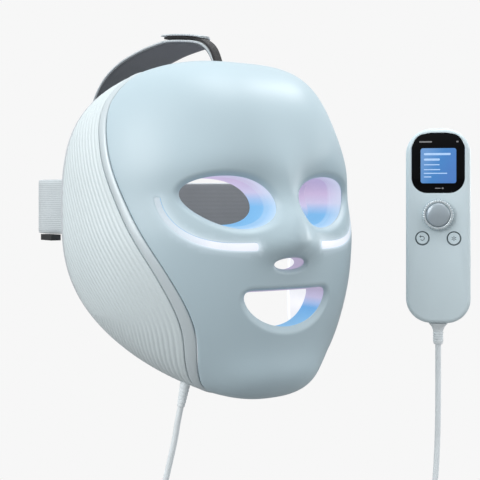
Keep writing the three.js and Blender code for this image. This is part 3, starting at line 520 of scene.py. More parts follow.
def lathe(profile, start, direction, sides=64, wobble=None):
    """Turned about an axis. The profile is (radius, distance along the axis)."""
    axis = np.asarray(direction, float)
    axis = axis / np.linalg.norm(axis)
    helper = np.array([1.0, 0, 0]) if abs(axis[0]) < 0.8 else np.array([0, 1.0, 0])
    u = np.cross(axis, helper)
    u /= np.linalg.norm(u)
    v = np.cross(axis, u)
    angle = np.arange(sides) * 2 * math.pi / sides
    around = np.cos(angle)[:, None] * u + np.sin(angle)[:, None] * v
    rows = []
    for radius, along in profile:
        reach = radius if wobble is None else wobble(radius, angle)[:, None]
        rows.append(np.asarray(start, float) + axis * along + around * reach)
    return grid(np.array(rows), wrap_columns=True)


def spline(points, count):
    """A Catmull-Rom curve through points, evenly spaced along its length."""
    p = np.asarray(points, float)
    p = np.vstack([p[:1], p, p[-1:]])
    out = []
    for i in range(1, len(p) - 2):
        t = np.linspace(0, 1, 60, endpoint=i == len(p) - 3)[:, None]
        a, b, c, d = p[i - 1], p[i], p[i + 1], p[i + 2]
        out.append(0.5 * (2 * b + (c - a) * t + (2 * a - 5 * b + 4 * c - d) * t ** 2
                          + (3 * b - a - 3 * c + d) * t ** 3))
    fine = np.concatenate(out)
    return even(fine, count)


def even(line, count):
    along = np.concatenate([[0], np.cumsum(np.linalg.norm(np.diff(line, axis=0), axis=1))])
    at = np.linspace(0, along[-1], count)
    return np.stack([np.interp(at, along, line[:, k]) for k in range(line.shape[1])], -1)


def bezier(points, count):
    p = np.asarray(points, float)
    t = np.linspace(0, 1, count)[:, None]
    if len(p) == 3:
        return (1 - t) ** 2 * p[0] + 2 * (1 - t) * t * p[1] + t ** 2 * p[2]
    return ((1 - t) ** 3 * p[0] + 3 * (1 - t) ** 2 * t * p[1] + 3 * (1 - t) * t ** 2 * p[2] + t ** 3 * p[3])


# ------------------------------------------------------------------ the cord
CORD_DIAMETER = 4
gland_direction = np.array([-0.1, -0.975, -0.2])
gland_direction /= np.linalg.norm(gland_direction)
GLAND_START = np.array([-44.5, -89, 51.5])
GLAND_LENGTH = 24
gland_end = GLAND_START + gland_direction * GLAND_LENGTH
REMOTE = np.array([136, 2, 94.8])
REMOTE_TURN = -0.801
relief_end = REMOTE + np.array([0, -136 / 2 - 15.4, 0])
COIL_CENTRE = np.array([-34, -207, 38])
COIL_RADIUS, COIL_TURNS, COIL_PITCH, COIL_HEADING = 22, 4.125, 4.4, 0.3235
coil_along = np.array([math.cos(COIL_HEADING), 0, math.sin(COIL_HEADING)])
coil_axis = np.array([-math.sin(COIL_HEADING), 0, math.cos(COIL_HEADING)])


def coil_point(angle):
    turned = (angle - math.pi) / (2 * math.pi) - COIL_TURNS / 2
    flat = coil_along * math.cos(angle) + np.array([0, 1, 0]) * math.sin(angle)
    return COIL_CENTRE + COIL_RADIUS * flat + coil_axis * turned * COIL_PITCH


COIL_START, COIL_END = math.pi, math.pi * (1 + 2 * COIL_TURNS)
coil_exit = np.array([math.cos(COIL_HEADING), -1, math.sin(COIL_HEADING)])
coil_exit /= np.linalg.norm(coil_exit)
cord_route = [
    gland_end,
    gland_end + gland_direction * 10,
    (-48.6, -134, 42.2),
    (-50.4, -150, 38.6),
    (-52.2, -166, 34.6),
    (-53, -179, 30.6),
    coil_point(COIL_START) + np.array([0, 15, 0]),
    *[coil_point(a) for a in np.linspace(COIL_START, COIL_END, 59)],
    coil_point(COIL_END) + 15 * coil_exit,
    (-10, -256, 58), (8, -268, 63.5), (28, -277, 69.5), (50, -281.5, 76), (73, -279.5, 82.5),
    (94, -270, 88), (111, -253, 91.8), (122.5, -230, 93.8), (129.5, -203, 94.6), (133.6, -172, 94.8),
    (135.6, -140, 94.8), (136, -112, 94.8), (136, -96, 94.8),
    relief_end,
]
cord_curve = bpy.data.curves.new("mask_cord", "CURVE")
cord_curve.dimensions = "3D"
cord_curve.bevel_depth = CORD_DIAMETER / 2 * MM
cord_curve.bevel_resolution = 5
cord_curve.resolution_u = 8
cord_curve.use_fill_caps = True
cord_line = cord_curve.splines.new("BEZIER")
cord_line.bezier_points.add(len(cord_route) - 1)
for point, spot in zip(cord_line.bezier_points, world(np.array(cord_route, float))):
    point.co = spot
    point.handle_left_type = point.handle_right_type = "AUTO"
cord_curve.materials.append(cord_vinyl)
cord = bpy.data.objects.new("mask_cord", cord_curve)
bpy.context.scene.collection.objects.link(cord)
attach(cord, "mask")
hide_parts("cord_mask_side", "cord_coil", "cord_remote_side")


def rounded_box_loop(half_x, half_y, corner, per_corner=6):
    """A closed rounded rectangle, anticlockwise from the right of its lower edge."""
    out = []
    corners = ((half_x, -half_y, -90), (half_x, half_y, 0), (-half_x, half_y, 90), (-half_x, -half_y, 180))
    for cx, cy, first in corners:
        for step in range(per_corner + 1):
            a = math.radians(first + 90 * step / per_corner)
            out.append((cx - math.copysign(corner, cx) + corner * math.cos(a),
                        cy - math.copysign(corner, cy) + corner * math.sin(a)))
    return np.array(out)


# the tie round the top of the coil: a soft band with rounded edges
coil_half = COIL_TURNS * COIL_PITCH / 2 + CORD_DIAMETER / 2 + 0.4
tie_rows = []
for grow, run in ((0.7, -2.4), (1.5, -3), (1.8, -2.4), (1.8, 2.4), (1.5, 3), (0.7, 2.4)):
    loop = rounded_box_loop(coil_half + grow, 2.9 + grow, 1.2 + grow * 0.5)
    tie_rows.append(COIL_CENTRE + np.array([0, COIL_RADIUS, 0]) + loop[:, :1] * coil_axis
                    + loop[:, 1:] * np.array([0, 1, 0]) + run * coil_along)
tie = make("cord_tie_band", ring(tie_rows), black_plastic, replaced=["cord_tie"])

# ------------------------------------------------------------------ the mask's surface
HALF_WIDTH, TOP_HEIGHT, CHIN_HEIGHT, POLE_HEIGHT, POLE_DEPTH = 101.1, 112.5, -107.5, 6, 102.6
HALF_HEIGHT = 105
# soft rises and hollows of the face: place, spread each way, height, and a power (4 is level across)
FACE_HILLS = (
    (35.5, 20.8, 40.8, 15.8, -10.2, 2), (63.3, 18, 16, 24, 2, 2), (0, 100.6, 71, 31.4, 6.3, 4),
    (0, -96.1, 40.8, 16.4, 6.7, 4), (0, -30, 20, 16, -1.5, 2),
)


def signed_power(value, power):
    return np.sign(value) * np.abs(value) ** power


def rim_point(angle):
    across, upward = np.cos(angle), np.sin(angle)
    above, below = np.maximum(upward, 0), np.maximum(-upward, 0)
    power = np.where(upward >= 0, 3.11, 2.42)
    reach = np.where(upward >= 0, TOP_HEIGHT - POLE_HEIGHT, POLE_HEIGHT - CHIN_HEIGHT)
    taper = (1 - 0.146 * below ** 1.6) * (1 - 0.046 * above ** 2)
    x = HALF_WIDTH * signed_power(across, 2 / power) * taper
    y = POLE_HEIGHT + reach * signed_power(upward, 2 / power)
    return x, y, -14 + 47.2 * above ** 3.16 + 82.6 * below ** 2.48


def relief(x, y):
    nose_tip = -6
    climb = np.abs(y - nose_tip)
    above = y > nose_tip
    ridge = np.where(above, np.exp(-(climb / 36) ** 1.8), np.exp(-(climb / 9.5) ** 2.6))
    half = np.where(above, 17 - 5 * np.minimum(climb / 45, 1), 17)
    nose = 12 * ridge * np.exp(-(x / half) ** 2)
    for at_x, at_y, wide, high, rise, power in FACE_HILLS:
        across = np.abs((np.abs(x) - at_x) / wide)
        nose = nose + rise * np.exp(-across ** power - ((y - at_y) / high) ** 2)
    return nose


def mask_point(distance, angle, inset=0.0):
    rx, ry, rz = rim_point(angle)
    power = 2.3 - 0.414 * np.sin(angle)
    spread = np.sin(distance * math.pi / 2) ** (2 / power)
    rise = np.maximum(np.cos(distance * math.pi / 2), 0) ** (2 / power)
    x = rx * spread * (1 - inset / HALF_WIDTH)
    y = POLE_HEIGHT + (ry - POLE_HEIGHT) * spread * (1 - inset / HALF_HEIGHT)
    z = rz + (POLE_DEPTH - inset - rz) * rise + relief(x, y)
    return np.stack([x, y, z], -1)


# angle round the rim against bearing in the front view, and against length along the rim
ease = np.linspace(0, 1, 3001)
ease = ease ** 2 * (3 - 2 * ease)
ANGLES = np.concatenate([*[(q + ease[:-1]) * math.pi / 2 for q in range(-2, 2)], [math.pi]])
RIM = np.stack(rim_point(ANGLES), -1)
BEARINGS = np.unwrap(np.arctan2(RIM[:, 1] - POLE_HEIGHT, RIM[:, 0]))
BEARINGS += round((-math.pi - BEARINGS[0]) / (2 * math.pi)) * 2 * math.pi
RIM_LENGTH = np.concatenate([[0], np.cumsum(np.linalg.norm(np.diff(RIM, axis=0), axis=1))])


def angle_at(length):
    return np.interp(length, RIM_LENGTH, ANGLES)


def length_at(angle):
    return np.interp(angle, ANGLES, RIM_LENGTH)


def polar(x, y, inset=0.0):
    """Distance and angle on the dome of a point of the front view."""
    wide_x = np.asarray(x, float) / (1 - inset / HALF_WIDTH)
    wide_y = (np.asarray(y, float) - POLE_HEIGHT) / (1 - inset / HALF_HEIGHT)
    angle = np.interp(np.arctan2(wide_y, wide_x), BEARINGS, ANGLES)
    rx, ry, _ = rim_point(angle)
    spread = np.hypot(wide_x, wide_y) / np.hypot(rx, ry - POLE_HEIGHT)
    power = 2.3 - 0.414 * np.sin(angle)
    return np.arcsin(np.minimum(spread ** (power / 2), 1)) * 2 / math.pi, angle


def on_mask(points, inset=0.0):
    """Points of the front view, put on the mask some way below its skin."""
    points = np.asarray(points, float)
    distance, angle = polar(points[..., 0], points[..., 1], inset)
    out = mask_point(distance, angle, inset)
    out[..., 0], out[..., 1] = points[..., 0], points[..., 1]
    return out


def to_map(distance, angle):
    """The flat map that the skin is triangulated in: the rim's front view, scaled by distance."""
    rx, ry, _ = rim_point(angle)
    return np.stack([rx * distance, (ry - POLE_HEIGHT) * distance], -1)


def from_map(points):
    angle = np.interp(np.arctan2(points[:, 1], points[:, 0]), BEARINGS, ANGLES)
    rx, ry, _ = rim_point(angle)
    return np.hypot(points[:, 0], points[:, 1]) / np.hypot(rx, ry - POLE_HEIGHT), angle


TRIM_POINTS = [(20.5, 114), (16.3, 84), (27.9, 53), (46.7, 16), (69.6, -25), (76.8, -58), (68.1, -88),
               (50.9, -116)]
TRIM_LINE = spline(TRIM_POINTS, 160)
TRIM_LINE = np.vstack([2 * TRIM_LINE[0] - TRIM_LINE[30], TRIM_LINE, 2 * TRIM_LINE[-1] - TRIM_LINE[-30]])


def before_trim(points):
    """How far a point lies in front of the trim's middle line, in the side view."""
    gap, left = to_line(np.stack([points[..., 2], points[..., 1]], -1), TRIM_LINE)
    return gap * left


def level(offset, count, edge=1.0):
    """The skin's points at one distance from the trim line, from the chin up, on the wearer's left."""
    along = np.linspace(length_at(-math.pi / 2), length_at(math.pi / 2), 500)[2:-2]
    rim = before_trim(mask_point(edge, angle_at(along))) - offset
    behind = np.nonzero(rim < 0)[0]
    ends = []
    for i, j in ((behind[0], behind[0] - 1), (behind[-1], behind[-1] + 1)):
        share = rim[i] / (rim[i] - rim[j])
        ends.append(along[i] + (along[j] - along[i]) * share)
    angle = angle_at(np.linspace(*ends, count))
    low, high = np.full(count, 0.02), np.full(count, edge)
    for _ in range(26):
        middle = (low + high) / 2
        ahead = before_trim(mask_point(middle, angle)) > offset
        low, high = np.where(ahead, middle, low), np.where(ahead, high, middle)
    distance = (low + high) / 2
    distance[[0, -1]] = edge
    return distance, angle


TRIM_HALF = 2.9
GAP = 0.3
SHELL_WALL = 2.4


def mirrored(shape, side):
    points, faces = shape
    return np.asarray(points) * np.array([side, 1, 1]), faces


SIDES = (("right", -1), ("left", 1))

# ------------------------------------------------------------------ trim strips and side panels
trim_profile = ((-2.9, 1.5), (-2.88, 0.7), (-2.75, 0.3), (-2.5, 0.05), (-2.1, -0.12), (-1.2, -0.27),
                (0, -0.32))
trim_profile = [*trim_profile, *[(-d, i) for d, i in reversed(trim_profile[:-1])]]
outer, inner = [], []
for offset, inset in trim_profile:
    distance, angle = level(offset, 170)
    outer.append(mask_point(distance, angle, inset))
    inner.append(mask_point(distance, angle, SHELL_WALL))
trim_shape = slab(np.array(outer), np.array(inner))

RIB_PITCH = 3.1
RIB_ROWS = 8
rim_offsets = before_trim(mask_point(1.0, angle_at(np.linspace(length_at(-1.4), length_at(1.4), 600))))
deepest = rim_offsets.min() + 0.05
outer, inner = [], []
first = -TRIM_HALF - GAP
offsets = [first, first - 0.02, first - 0.12, first - 0.35]
offsets += list(np.arange(first - 0.8, deepest, -RIB_PITCH / RIB_ROWS)) + [deepest]
for offset in offsets:
    run = first - offset
    distance, angle = level(offset, 120)
    edge = 0.7 - math.sqrt(max(0.49 - max(0.7 - run, 0) ** 2, 0))
    phase = (run - 1.0) / RIB_PITCH
    rib = 0.5 - 0.5 * math.cos(2 * math.pi * phase)
    fade = min(max((run - 1.0) / 2, 0), 1)
    rim_fade = np.clip((1 - distance) * 60, 0, 1)
    height = 0.45 * (rib ** 0.7) * fade
    outer.append(mask_point(distance, angle, edge + 0.25 * fade - height * (0.35 + 0.65 * rim_fade)))
    inner.append(mask_point(distance, angle, SHELL_WALL))
panel_shape = slab(np.array(outer), np.array(inner))
for name, side in SIDES:
    make(f"trim_{name}", mirrored(trim_shape, side), trim_metal, replaced=[f"trim_strip_{name}"])
    make(f"ribbed_panel_{name}", mirrored(panel_shape, side), panel_plastic,
         replaced=[f"side_panel_{name}"], sharp=50)


# ------------------------------------------------------------------ outlines on the face
def ellipse(x, y, a, b, count):
    t = np.arange(count) * 2 * math.pi / count
    return np.stack([x + a * np.cos(t), y + b * np.sin(t)], -1)


EYE_X, EYE_Y, EYE_HALF_WIDTH, EYE_HALF_HEIGHT = 38, 20, 28.6, 16.3
EYE_TILT, EYE_EGG, EYE_BOW, EYE_POINTS = 0.158, 0.163, 0.064, 128


def eye_outline(side, grow=0.0):
    """An ellipse that is rounder towards the nose, bowed a little and tilted."""
    t = np.arange(EYE_POINTS) * 2 * math.pi / EYE_POINTS
    c, s = math.cos(EYE_TILT), math.sin(EYE_TILT)
    along = (EYE_HALF_WIDTH + grow) * np.cos(t)
    bulge = np.sin(t) * (1 - EYE_EGG * np.cos(t)) + EYE_BOW * (np.cos(t) ** 2 - 0.5)
    up = (EYE_HALF_HEIGHT + grow) * bulge
    return np.stack([EYE_X + along * c - up * s, EYE_Y + along * s + up * c], -1) * np.array([side, 1])


def nostril_outline(grow=0.0):
    return ellipse(0, -20.2, 12 + grow, 4 + grow, count=72)


def mouth_base():
    right = [(26, -36.6), (33, -36.6), (32, -42)]
    low = [(32, -42), (29, -53), (15, -60.8), (0, -60.8)]
    half = np.vstack([np.linspace((0, -36.6), (26, -36.6), 24)[:-1], bezier(right, 16)[:-1], bezier(low, 40)])
    left = half[::-1][1:-1] * np.array([-1, 1])
    return even(np.vstack([half, left, half[:1]]), 145)[:-1]


MOUTH = mouth_base()[::-1]


def mouth_outline(grow=0.0):
    ahead, behind = np.roll(MOUTH, -1, 0), np.roll(MOUTH, 1, 0)
    run = ahead - behind
    run /= np.linalg.norm(run, axis=1)[:, None]
    return MOUTH + grow * np.stack([run[:, 1], -run[:, 0]], -1)


STRIP_HALF, STRIP_CLOSING, STRIP_END_STEPS = 2.4, 1.1, 8
STRIP_GAP = 0.12


def strip_outline(side, grow=0.0):
    """The strip's border, narrowing outwards, and its middle line."""
    middle = bezier([(26, -8.6), (52, -9.3), (74, -6), (76.2, 21)], 40)
    run = np.gradient(middle, axis=0)
    run /= np.linalg.norm(run, axis=1)[:, None]
    off = np.stack([-run[:, 1], run[:, 0]], -1)
    widths = STRIP_HALF + grow - np.linspace(0, STRIP_CLOSING, len(middle))
    loops = [middle - off * widths[:, None]]
    for at, turn in ((-1, 1), (0, -1)):
        cap = []
        width = widths[at]
        for step in range(1, STRIP_END_STEPS):
            a = -math.pi / 2 + math.pi * step / STRIP_END_STEPS
            forward = turn * run[at] * math.cos(a) * 0.5 * width
            cap.append(middle[at] + forward + turn * off[at] * math.sin(a) * width)
        loops.append(np.array(cap))
        if at == -1:
            loops.append((middle + off * widths[:, None])[::-1])
    return np.vstack(loops) * np.array([side, 1]), middle * np.array([side, 1])


def as_map(points, inset=0.0):
    return to_map(*polar(points[:, 0], points[:, 1], inset))


def lattice(low, high, spacing):
    xs = np.arange(low[0], high[0], spacing)
    rows = []
    for k, y in enumerate(np.arange(low[1], high[1], spacing * 0.866)):
        rows.append(np.stack([xs + (k % 2) * spacing / 2, np.full(len(xs), y)], -1))
    return np.concatenate(rows)


# ------------------------------------------------------------------ the front shell
EDGE_ROUND = 0.7
RIM_SCALE = 150
FACE_FIELD = ((-110, -120), (110, 110))
# Spread of the strips' glow painted onto the shell: where it starts, how fast it falls off, and where it
# fades out to the sides.
PAINTED_GLOW_START, PAINTED_GLOW_SPREAD, PAINTED_GLOW_EDGE, PAINTED_GLOW_FADE = 2.1, 1.5, 80, 18
# every opening of the shell: its outline for a growth, and its lip's width and depth
openings = [
    (lambda g: eye_outline(-1, g), 3.1, 1.9), (lambda g: eye_outline(1, g), 3.1, 1.9),
    (mouth_outline, 3.3, 2.15), (nostril_outline, 1.8, 1.7),
    (lambda g: strip_outline(-1, STRIP_GAP + g)[0], 0.4, 0.12),
    (lambda g: strip_outline(1, STRIP_GAP + g)[0], 0.4, 0.12),
]
LIP_STEPS = (0.03, 0.1, 0.2, 0.33, 0.5, 0.72, 1.0)


def shell_border(e):
    """The front shell's edge, some way in from its border, as a closed loop on the map."""
    edge = 1 - e / RIM_SCALE
    distance, angle = level(TRIM_HALF + GAP + e, 150, edge)
    left = to_map(distance, angle)
    ahead = length_at(math.pi) - (length_at(angle[-1]) - length_at(0))
    over = angle_at(np.linspace(length_at(angle[-1]), ahead, 90))
    top = to_map(edge, over[1:-1])
    right = left[::-1] * np.array([-1, 1])
    start = length_at(-math.pi) + (length_at(0) - length_at(angle[0]))
    under = angle_at(np.linspace(start, length_at(angle[0]), 60))
    low = to_map(edge, under[1:-1])
    return np.vstack([left, top, right, low])


border = shell_border(0.0)
loops = [border] + [as_map(outline(0.0)) for outline, _, _ in openings]
extra = [shell_border(e) for e in (0.12, 0.35, 0.7, 1.6)]
for outline, wide, _ in openings:
    for step in LIP_STEPS:
        extra.append(as_map(outline(wide * step)))
    extra.append(as_map(outline(wide + 1.2)))
field = lattice(*FACE_FIELD, 1.9)
field = field[inside(field, shell_border(3.0))]
for outline, wide, _ in openings:
    field = field[~inside(field, as_map(outline(wide + 2.4)))]
vertices, faces = triangles(loops, np.vstack(extra + [field]))
distance, angle = from_map(vertices)
distance = np.minimum(distance, 1)
skin = mask_point(distance, angle)
drop = np.zeros(len(vertices))
for e in (before_trim(skin) - TRIM_HALF - GAP, (1 - distance) * RIM_SCALE):
    e = np.clip(e, 0, EDGE_ROUND)
    drop = np.maximum(drop, EDGE_ROUND - np.sqrt(EDGE_ROUND ** 2 - (EDGE_ROUND - e) ** 2))
for outline, wide, deep in openings:
    gap, _ = to_line(skin[:, :2], outline(0.0), closed=True)
    drop = np.maximum(drop, deep * np.clip(1 - gap / wide, 0, 1) ** 1.5)
# Painted light: the strips' glow painted onto the shell, strongest next to each strip and weaker towards its
# outer end.
painted_strip_glow = np.zeros(len(vertices))
for side in (-1, 1):
    middle = strip_outline(side, 0)[1]
    gap, _ = to_line(skin[:, :2], middle)
    fade = np.clip((PAINTED_GLOW_EDGE - np.abs(skin[:, 0])) / PAINTED_GLOW_FADE, 0.15, 1)
    painted_strip_glow = np.maximum(painted_strip_glow, fade * np.exp(-(np.maximum(gap - PAINTED_GLOW_START, 0) / PAINTED_GLOW_SPREAD) ** 1.2))
shape, used = sheet_body(vertices, faces, mask_point(distance, angle, drop),
                         mask_point(distance, angle, SHELL_WALL))
make("face_shell", shape, shell_plastic, replaced=["front_shell"],
     values={"painted_strip_glow": np.concatenate([painted_strip_glow[used], painted_strip_glow[used] * 0])}, sharp=42)

# ------------------------------------------------------------------ light strips under the eyes
for name, side in SIDES:
    loop, middle = strip_outline(side, 0)
    inner_loop = strip_outline(side, -0.9)[0]
    vertices, faces = triangles([loop], np.vstack([inner_loop, middle]))
    gap, _ = to_line(vertices, loop, closed=True)
    crown = 0.10 * (1 - np.clip(gap / 1.2, 0, 1)) ** 2
    outer, inner = on_mask(vertices), on_mask(vertices, 4.2)
    outer[:, 2] -= crown
    shape, used = sheet_body(vertices, faces, outer, inner)
    along = np.clip((83 - np.abs(vertices[used, 0])) / 40, 0, 1)
    make(f"light_strip_{name}", shape, glow, replaced=[f"under_eye_light_{name}"],
         values={"along": np.concatenate([along, along])})


# ------------------------------------------------------------------ tunnels round the openings
def opening_ring(outline, section):
    return ring([on_mask(outline(grow), inset) for grow, inset in section])


# each tunnel's section: how far outside the opening, and how deep under the skin
EYE_DEPTH = 26
EYE_SECTION = [(0.35, 2.9), (0.12, 3.6), (0.05, 6), (0, 10.6), (-0.25, 11.0), (-0.9, 11.2), (-1.25, 11.6),
               (-1.6, 16), (-1.9, 21), (-2.1, 25), (-1.9, 25.7), (-1.2, EYE_DEPTH), (-0.5, 25.7),
               (-0.2, 25), (0.1, 19), (0.4, 13), (1.2, 12.6), (1.6, 11.6), (1.6, 3.4), (1.35, 2.85),
               (0.8, 2.7)]
MOUTH_SECTION = [(0.35, 2.9), (0.1, 3.5), (0, 6), (0, 12), (0, 19), (0.15, 19.7), (0.6, 20), (1.2, 19.8),
                 (1.5, 19.2), (1.6, 12), (1.6, 3.4), (1.35, 2.85), (0.8, 2.7)]
NOSTRIL_SECTION = [(grow, inset if inset < 12 else inset - 7) for grow, inset in MOUTH_SECTION if inset != 12]
for name, side in SIDES:
    shape = opening_ring(lambda g: eye_outline(side, g), EYE_SECTION)
    deep = np.repeat([inset / EYE_DEPTH for _, inset in EYE_SECTION], EYE_POINTS)
    make(f"eye_tunnel_{name}", shape, tunnel, replaced=[f"eye_surround_{name}"],
         values={"deep": deep})
make("mouth_tunnel", opening_ring(mouth_outline, MOUTH_SECTION), mouth_tunnel, replaced=["mouth_surround"])
make("nostril_tunnel", opening_ring(nostril_outline, NOSTRIL_SECTION), mouth_tunnel,
     replaced=["nostril_surround"])

# ------------------------------------------------------------------ the liner
LINER_FRONT, LINER_BACK = 9.5, 11.3
rim_loop = to_map(1.0, angle_at(np.linspace(0, RIM_LENGTH[-1], 321)[:-1]))
module_outline = {side: rounded_box_loop(12.3, 4.8, 2) + np.array([side * 48, -19]) for side in (-1, 1)}
LINER_MIDDLE = (LINER_FRONT + LINER_BACK) / 2
liner_holes = [eye_outline(-1, 2.2), eye_outline(1, 2.2), mouth_outline(2.2), nostril_outline(2.2),
               module_outline[-1], module_outline[1]]
loops = [rim_loop] + [as_map(h, LINER_MIDDLE) for h in liner_holes]
field = lattice(*FACE_FIELD, 3.2)
field = field[inside(field, rim_loop * 0.985)]
for hole in liner_holes:
    grown_hole = (hole - hole.mean(0)) * 1.08 + hole.mean(0)
    field = field[~inside(field, as_map(grown_hole, LINER_MIDDLE))]
vertices, faces = triangles(loops, np.vstack([field, rim_loop * 0.992]))
distance, angle = from_map(vertices)
distance = np.minimum(distance, 1)
led_places = [(x, y) for x in (-52, -31, -10, 10, 31, 52) for y in (56, 76)]
led_places += [(x, -77) for x in (-22, 0, 22)]
led_places += [(side * x, y) for side in (-1, 1) for x in (52, 68) for y in (-52, -36)]
outer = mask_point(distance, angle, LINER_FRONT)
inner = mask_point(distance, angle, LINER_BACK)
spot = np.zeros(len(vertices))
for x, y in led_places:
    spot = np.maximum(spot, np.exp(-((inner[:, 0] - x) ** 2 + (inner[:, 1] - y) ** 2) / 5.5 ** 2))
shape, used = sheet_body(vertices, faces, outer, inner)
make("light_liner", shape, liner_lit, replaced=["inner_liner"],
     values={"spot": np.concatenate([spot[used], spot[used]])})


# ------------------------------------------------------------------ plates, pad and rim seal
def pad(outline, front, back, round_over, power=2.2, spacing=2.0, crown=0.0):
    """A patch that follows the face, rounded over towards the wearer."""
    steps = [round_over * s for s in (0.04, 0.14, 0.3, 0.5, 0.75, 1.0)]
    centre = outline.mean(0)
    run = np.roll(outline, -1, 0) - np.roll(outline, 1, 0)
    run /= np.linalg.norm(run, axis=1)[:, None]
    normal = np.stack([-run[:, 1], run[:, 0]], -1)
    if ((centre - outline) * normal).sum() < 0:
        normal = -normal
    rows = [outline + normal * s for s in steps]
    field = lattice(outline.min(0), outline.max(0), spacing)
    gap, _ = to_line(field, outline, closed=True)
    field = field[inside(field, outline) & (gap > round_over + 0.8)]
    rows = [r[inside(r, outline)] for r in rows]
    vertices, faces = triangles([outline], np.vstack(rows + [field]))
    gap, _ = to_line(vertices, outline, closed=True)
    swell = np.clip(1 - gap / round_over, 0, 1) ** power
    soft = crown * np.clip(gap / gap.max(), 0, 1) ** 0.7
    outer = on_mask(vertices, front)
    flat, deep = on_mask(vertices, back), on_mask(vertices, front)
    inner = flat + (deep - flat) * (swell * 0.75)[:, None]
    inner[:, 2] -= soft
    return sheet_body(vertices, faces, outer, inner)[0]


def band_outline(middle, half):
    run = np.gradient(middle, axis=0)
    run /= np.linalg.norm(run, axis=1)[:, None]
    off = np.stack([-run[:, 1], run[:, 0]], -1)
    return np.vstack([middle - off * half, (middle + off * half)[::-1]])


for name, side in SIDES:
    middle = bezier([(24, -17), (48, -20), (68, -6)], 40)
    band = band_outline(middle, 6)
    outline = even(np.vstack([band, band[:1]]), 121)[:-1]
    outline = outline[~inside(outline, eye_outline(1, 2.1))] * np.array([side, 1])
    make(f"cold_plate_{name}", pad(outline, 12.8, 14.8, 1.2), cold_metal, replaced=[f"cooling_plate_{name}"])
pad_outline = rounded_box_loop(39, 13, 11, 10) + np.array([0, 71])
forehead = make("forehead_cushion", pad(pad_outline, 12.2, 15.4, 4.5, crown=1.3), silicone,
                replaced=["forehead_pad"], sharp=60)

# Painted light: each row's share of the liner's glow painted on the bead, full on the side that faces the
# liner and none on the outer side.
seal_rows, painted_glow_inward = [], []
seal_angle = angle_at(np.linspace(0, RIM_LENGTH[-1], 361)[:-1])
for step in range(20):
    a = 2 * math.pi * step / 20
    across, back = signed_power(math.cos(a), 0.75), signed_power(math.sin(a), 0.85)
    loop = mask_point(1.0, seal_angle, 5.75 - across * 5.3)
    loop[:, 2] += back * 2.25 - GAP - 2.3
    seal_rows.append(loop)
    painted_glow_inward.append(min(max(0.5 - 1.2 * across, 0), 1))
make("rim_bead", ring(seal_rows), bead_silicone, replaced=["rim_seal"], sharp=60,
     values={"painted_glow_inward": np.repeat(painted_glow_inward, len(seal_angle))})


# ------------------------------------------------------------------ straps
def strap_edge(across, half, middle, first, last):
    """The round edge of a strap's section, between two angles."""
    angles = [math.radians(a) for a in np.linspace(first, last, 7)[1:-1]]
    return [(across + half * math.cos(a), middle + half * math.sin(a)) for a in angles]


def strap(line, widths, low, high, plane):
    """A band swept along a flat line: widths run across it, low and high are its two faces."""
    run = np.gradient(line, axis=0)
    run /= np.linalg.norm(run, axis=1)[:, None]
    off = np.stack([-run[:, 1], run[:, 0]], -1)
    along = np.concatenate([[0], np.cumsum(np.linalg.norm(np.diff(line, axis=0), axis=1))])
    half = (high - low) / 2
    rows, lays = [], []
    for (centre, left, right), spot, normal, length in zip(widths, line, off, along):
        reach = (right - left) / 2
        middle = (right + left) / 2
        section = []
        for w in np.linspace(-1, 1, 17)[1:-1]:
            section.append((w * (reach - half), high))
        section += strap_edge(reach - half, half, low + half, 90, -90)
        for w in np.linspace(1, -1, 17)[1:-1]:
            section.append((w * (reach - half), low))
        section += strap_edge(half - reach, half, low + half, -90, -270)
        row = []
        for w, h in section:
            flat = spot + normal * h
            row.append(plane(flat, middle + w))
            lays.append((length, middle + w, h))
        rows.append(row)
    rows = np.array(rows)
    points, faces = grid(rows, wrap_columns=True)
    count = rows.shape[1]
    faces += [list(range(count)), list(range(len(points) - count, len(points)))]
    return (points, faces), np.array(lays)


REAR_HALF = [(86, 6), (87, 18), (91, 28), (98, 48), (95, 64), (85.5, 80), (70, 101), (50, 120.5), (26, 134.5)]
rear_line = spline([(-x, b) for x, b in REAR_HALF] + [(0, 139)] + [(x, b) for x, b in REAR_HALF[::-1]], 240)


def plan(flat, across):
    return (flat[0], across, -flat[1])


rear_widths = [(0, -3, 34)] * len(rear_line)
for name, low, high, mat, slot_name, replaced in (
    ("rear_strap_knit", -0.45, 1.3, knit_light, "strap", ["rear_strap"]),
    ("rear_strap_lining", -1.3, -0.5, knit_grey, "strap_lining", []),
):
    trimmed = rear_widths if replaced else [(0, -2.2, 33.2)] * len(rear_line)
    shape, lay = strap(rear_line, trimmed, low, high, plan)
    make(name, shape, mat, replaced=replaced, values={"lay": lay}, sharp=60)

TOP_LINE = [(30.3, 102.5), (22.6, 108), (17.6, 115.5), (10, 124.5), (0, 130), (-13, 132.5),
            (-40, 131.5), (-64, 129), (-92, 123.5), (-116, 113.5), (-133, 98), (-143, 76),
            (-145.3, 56), (-143.6, 36), (-142.8, 16), (-142.8, -2)]


def plan_half(back):
    """The strap's half-width at a distance behind the origin, narrowing to a tongue at the forehead."""
    curve = bezier([(4, 0), (4, 12), (20, 12), (20, 26)], 60)
    return float(np.interp(back, curve[:, 1], curve[:, 0]))


def profile(flat, across):
    return (across, flat[1], flat[0])


def top_band(name, points, count, low, high, mat, replaced, trim=0.0):
    line = spline(points, count)
    widths = []
    for f, _ in line:
        half = plan_half(-f) - trim
        widths.append((0, -half, half))
    shape, lay = strap(line, widths, low, high, profile)
    return make(name, shape, mat, replaced=replaced, values={"lay": lay}, sharp=60)


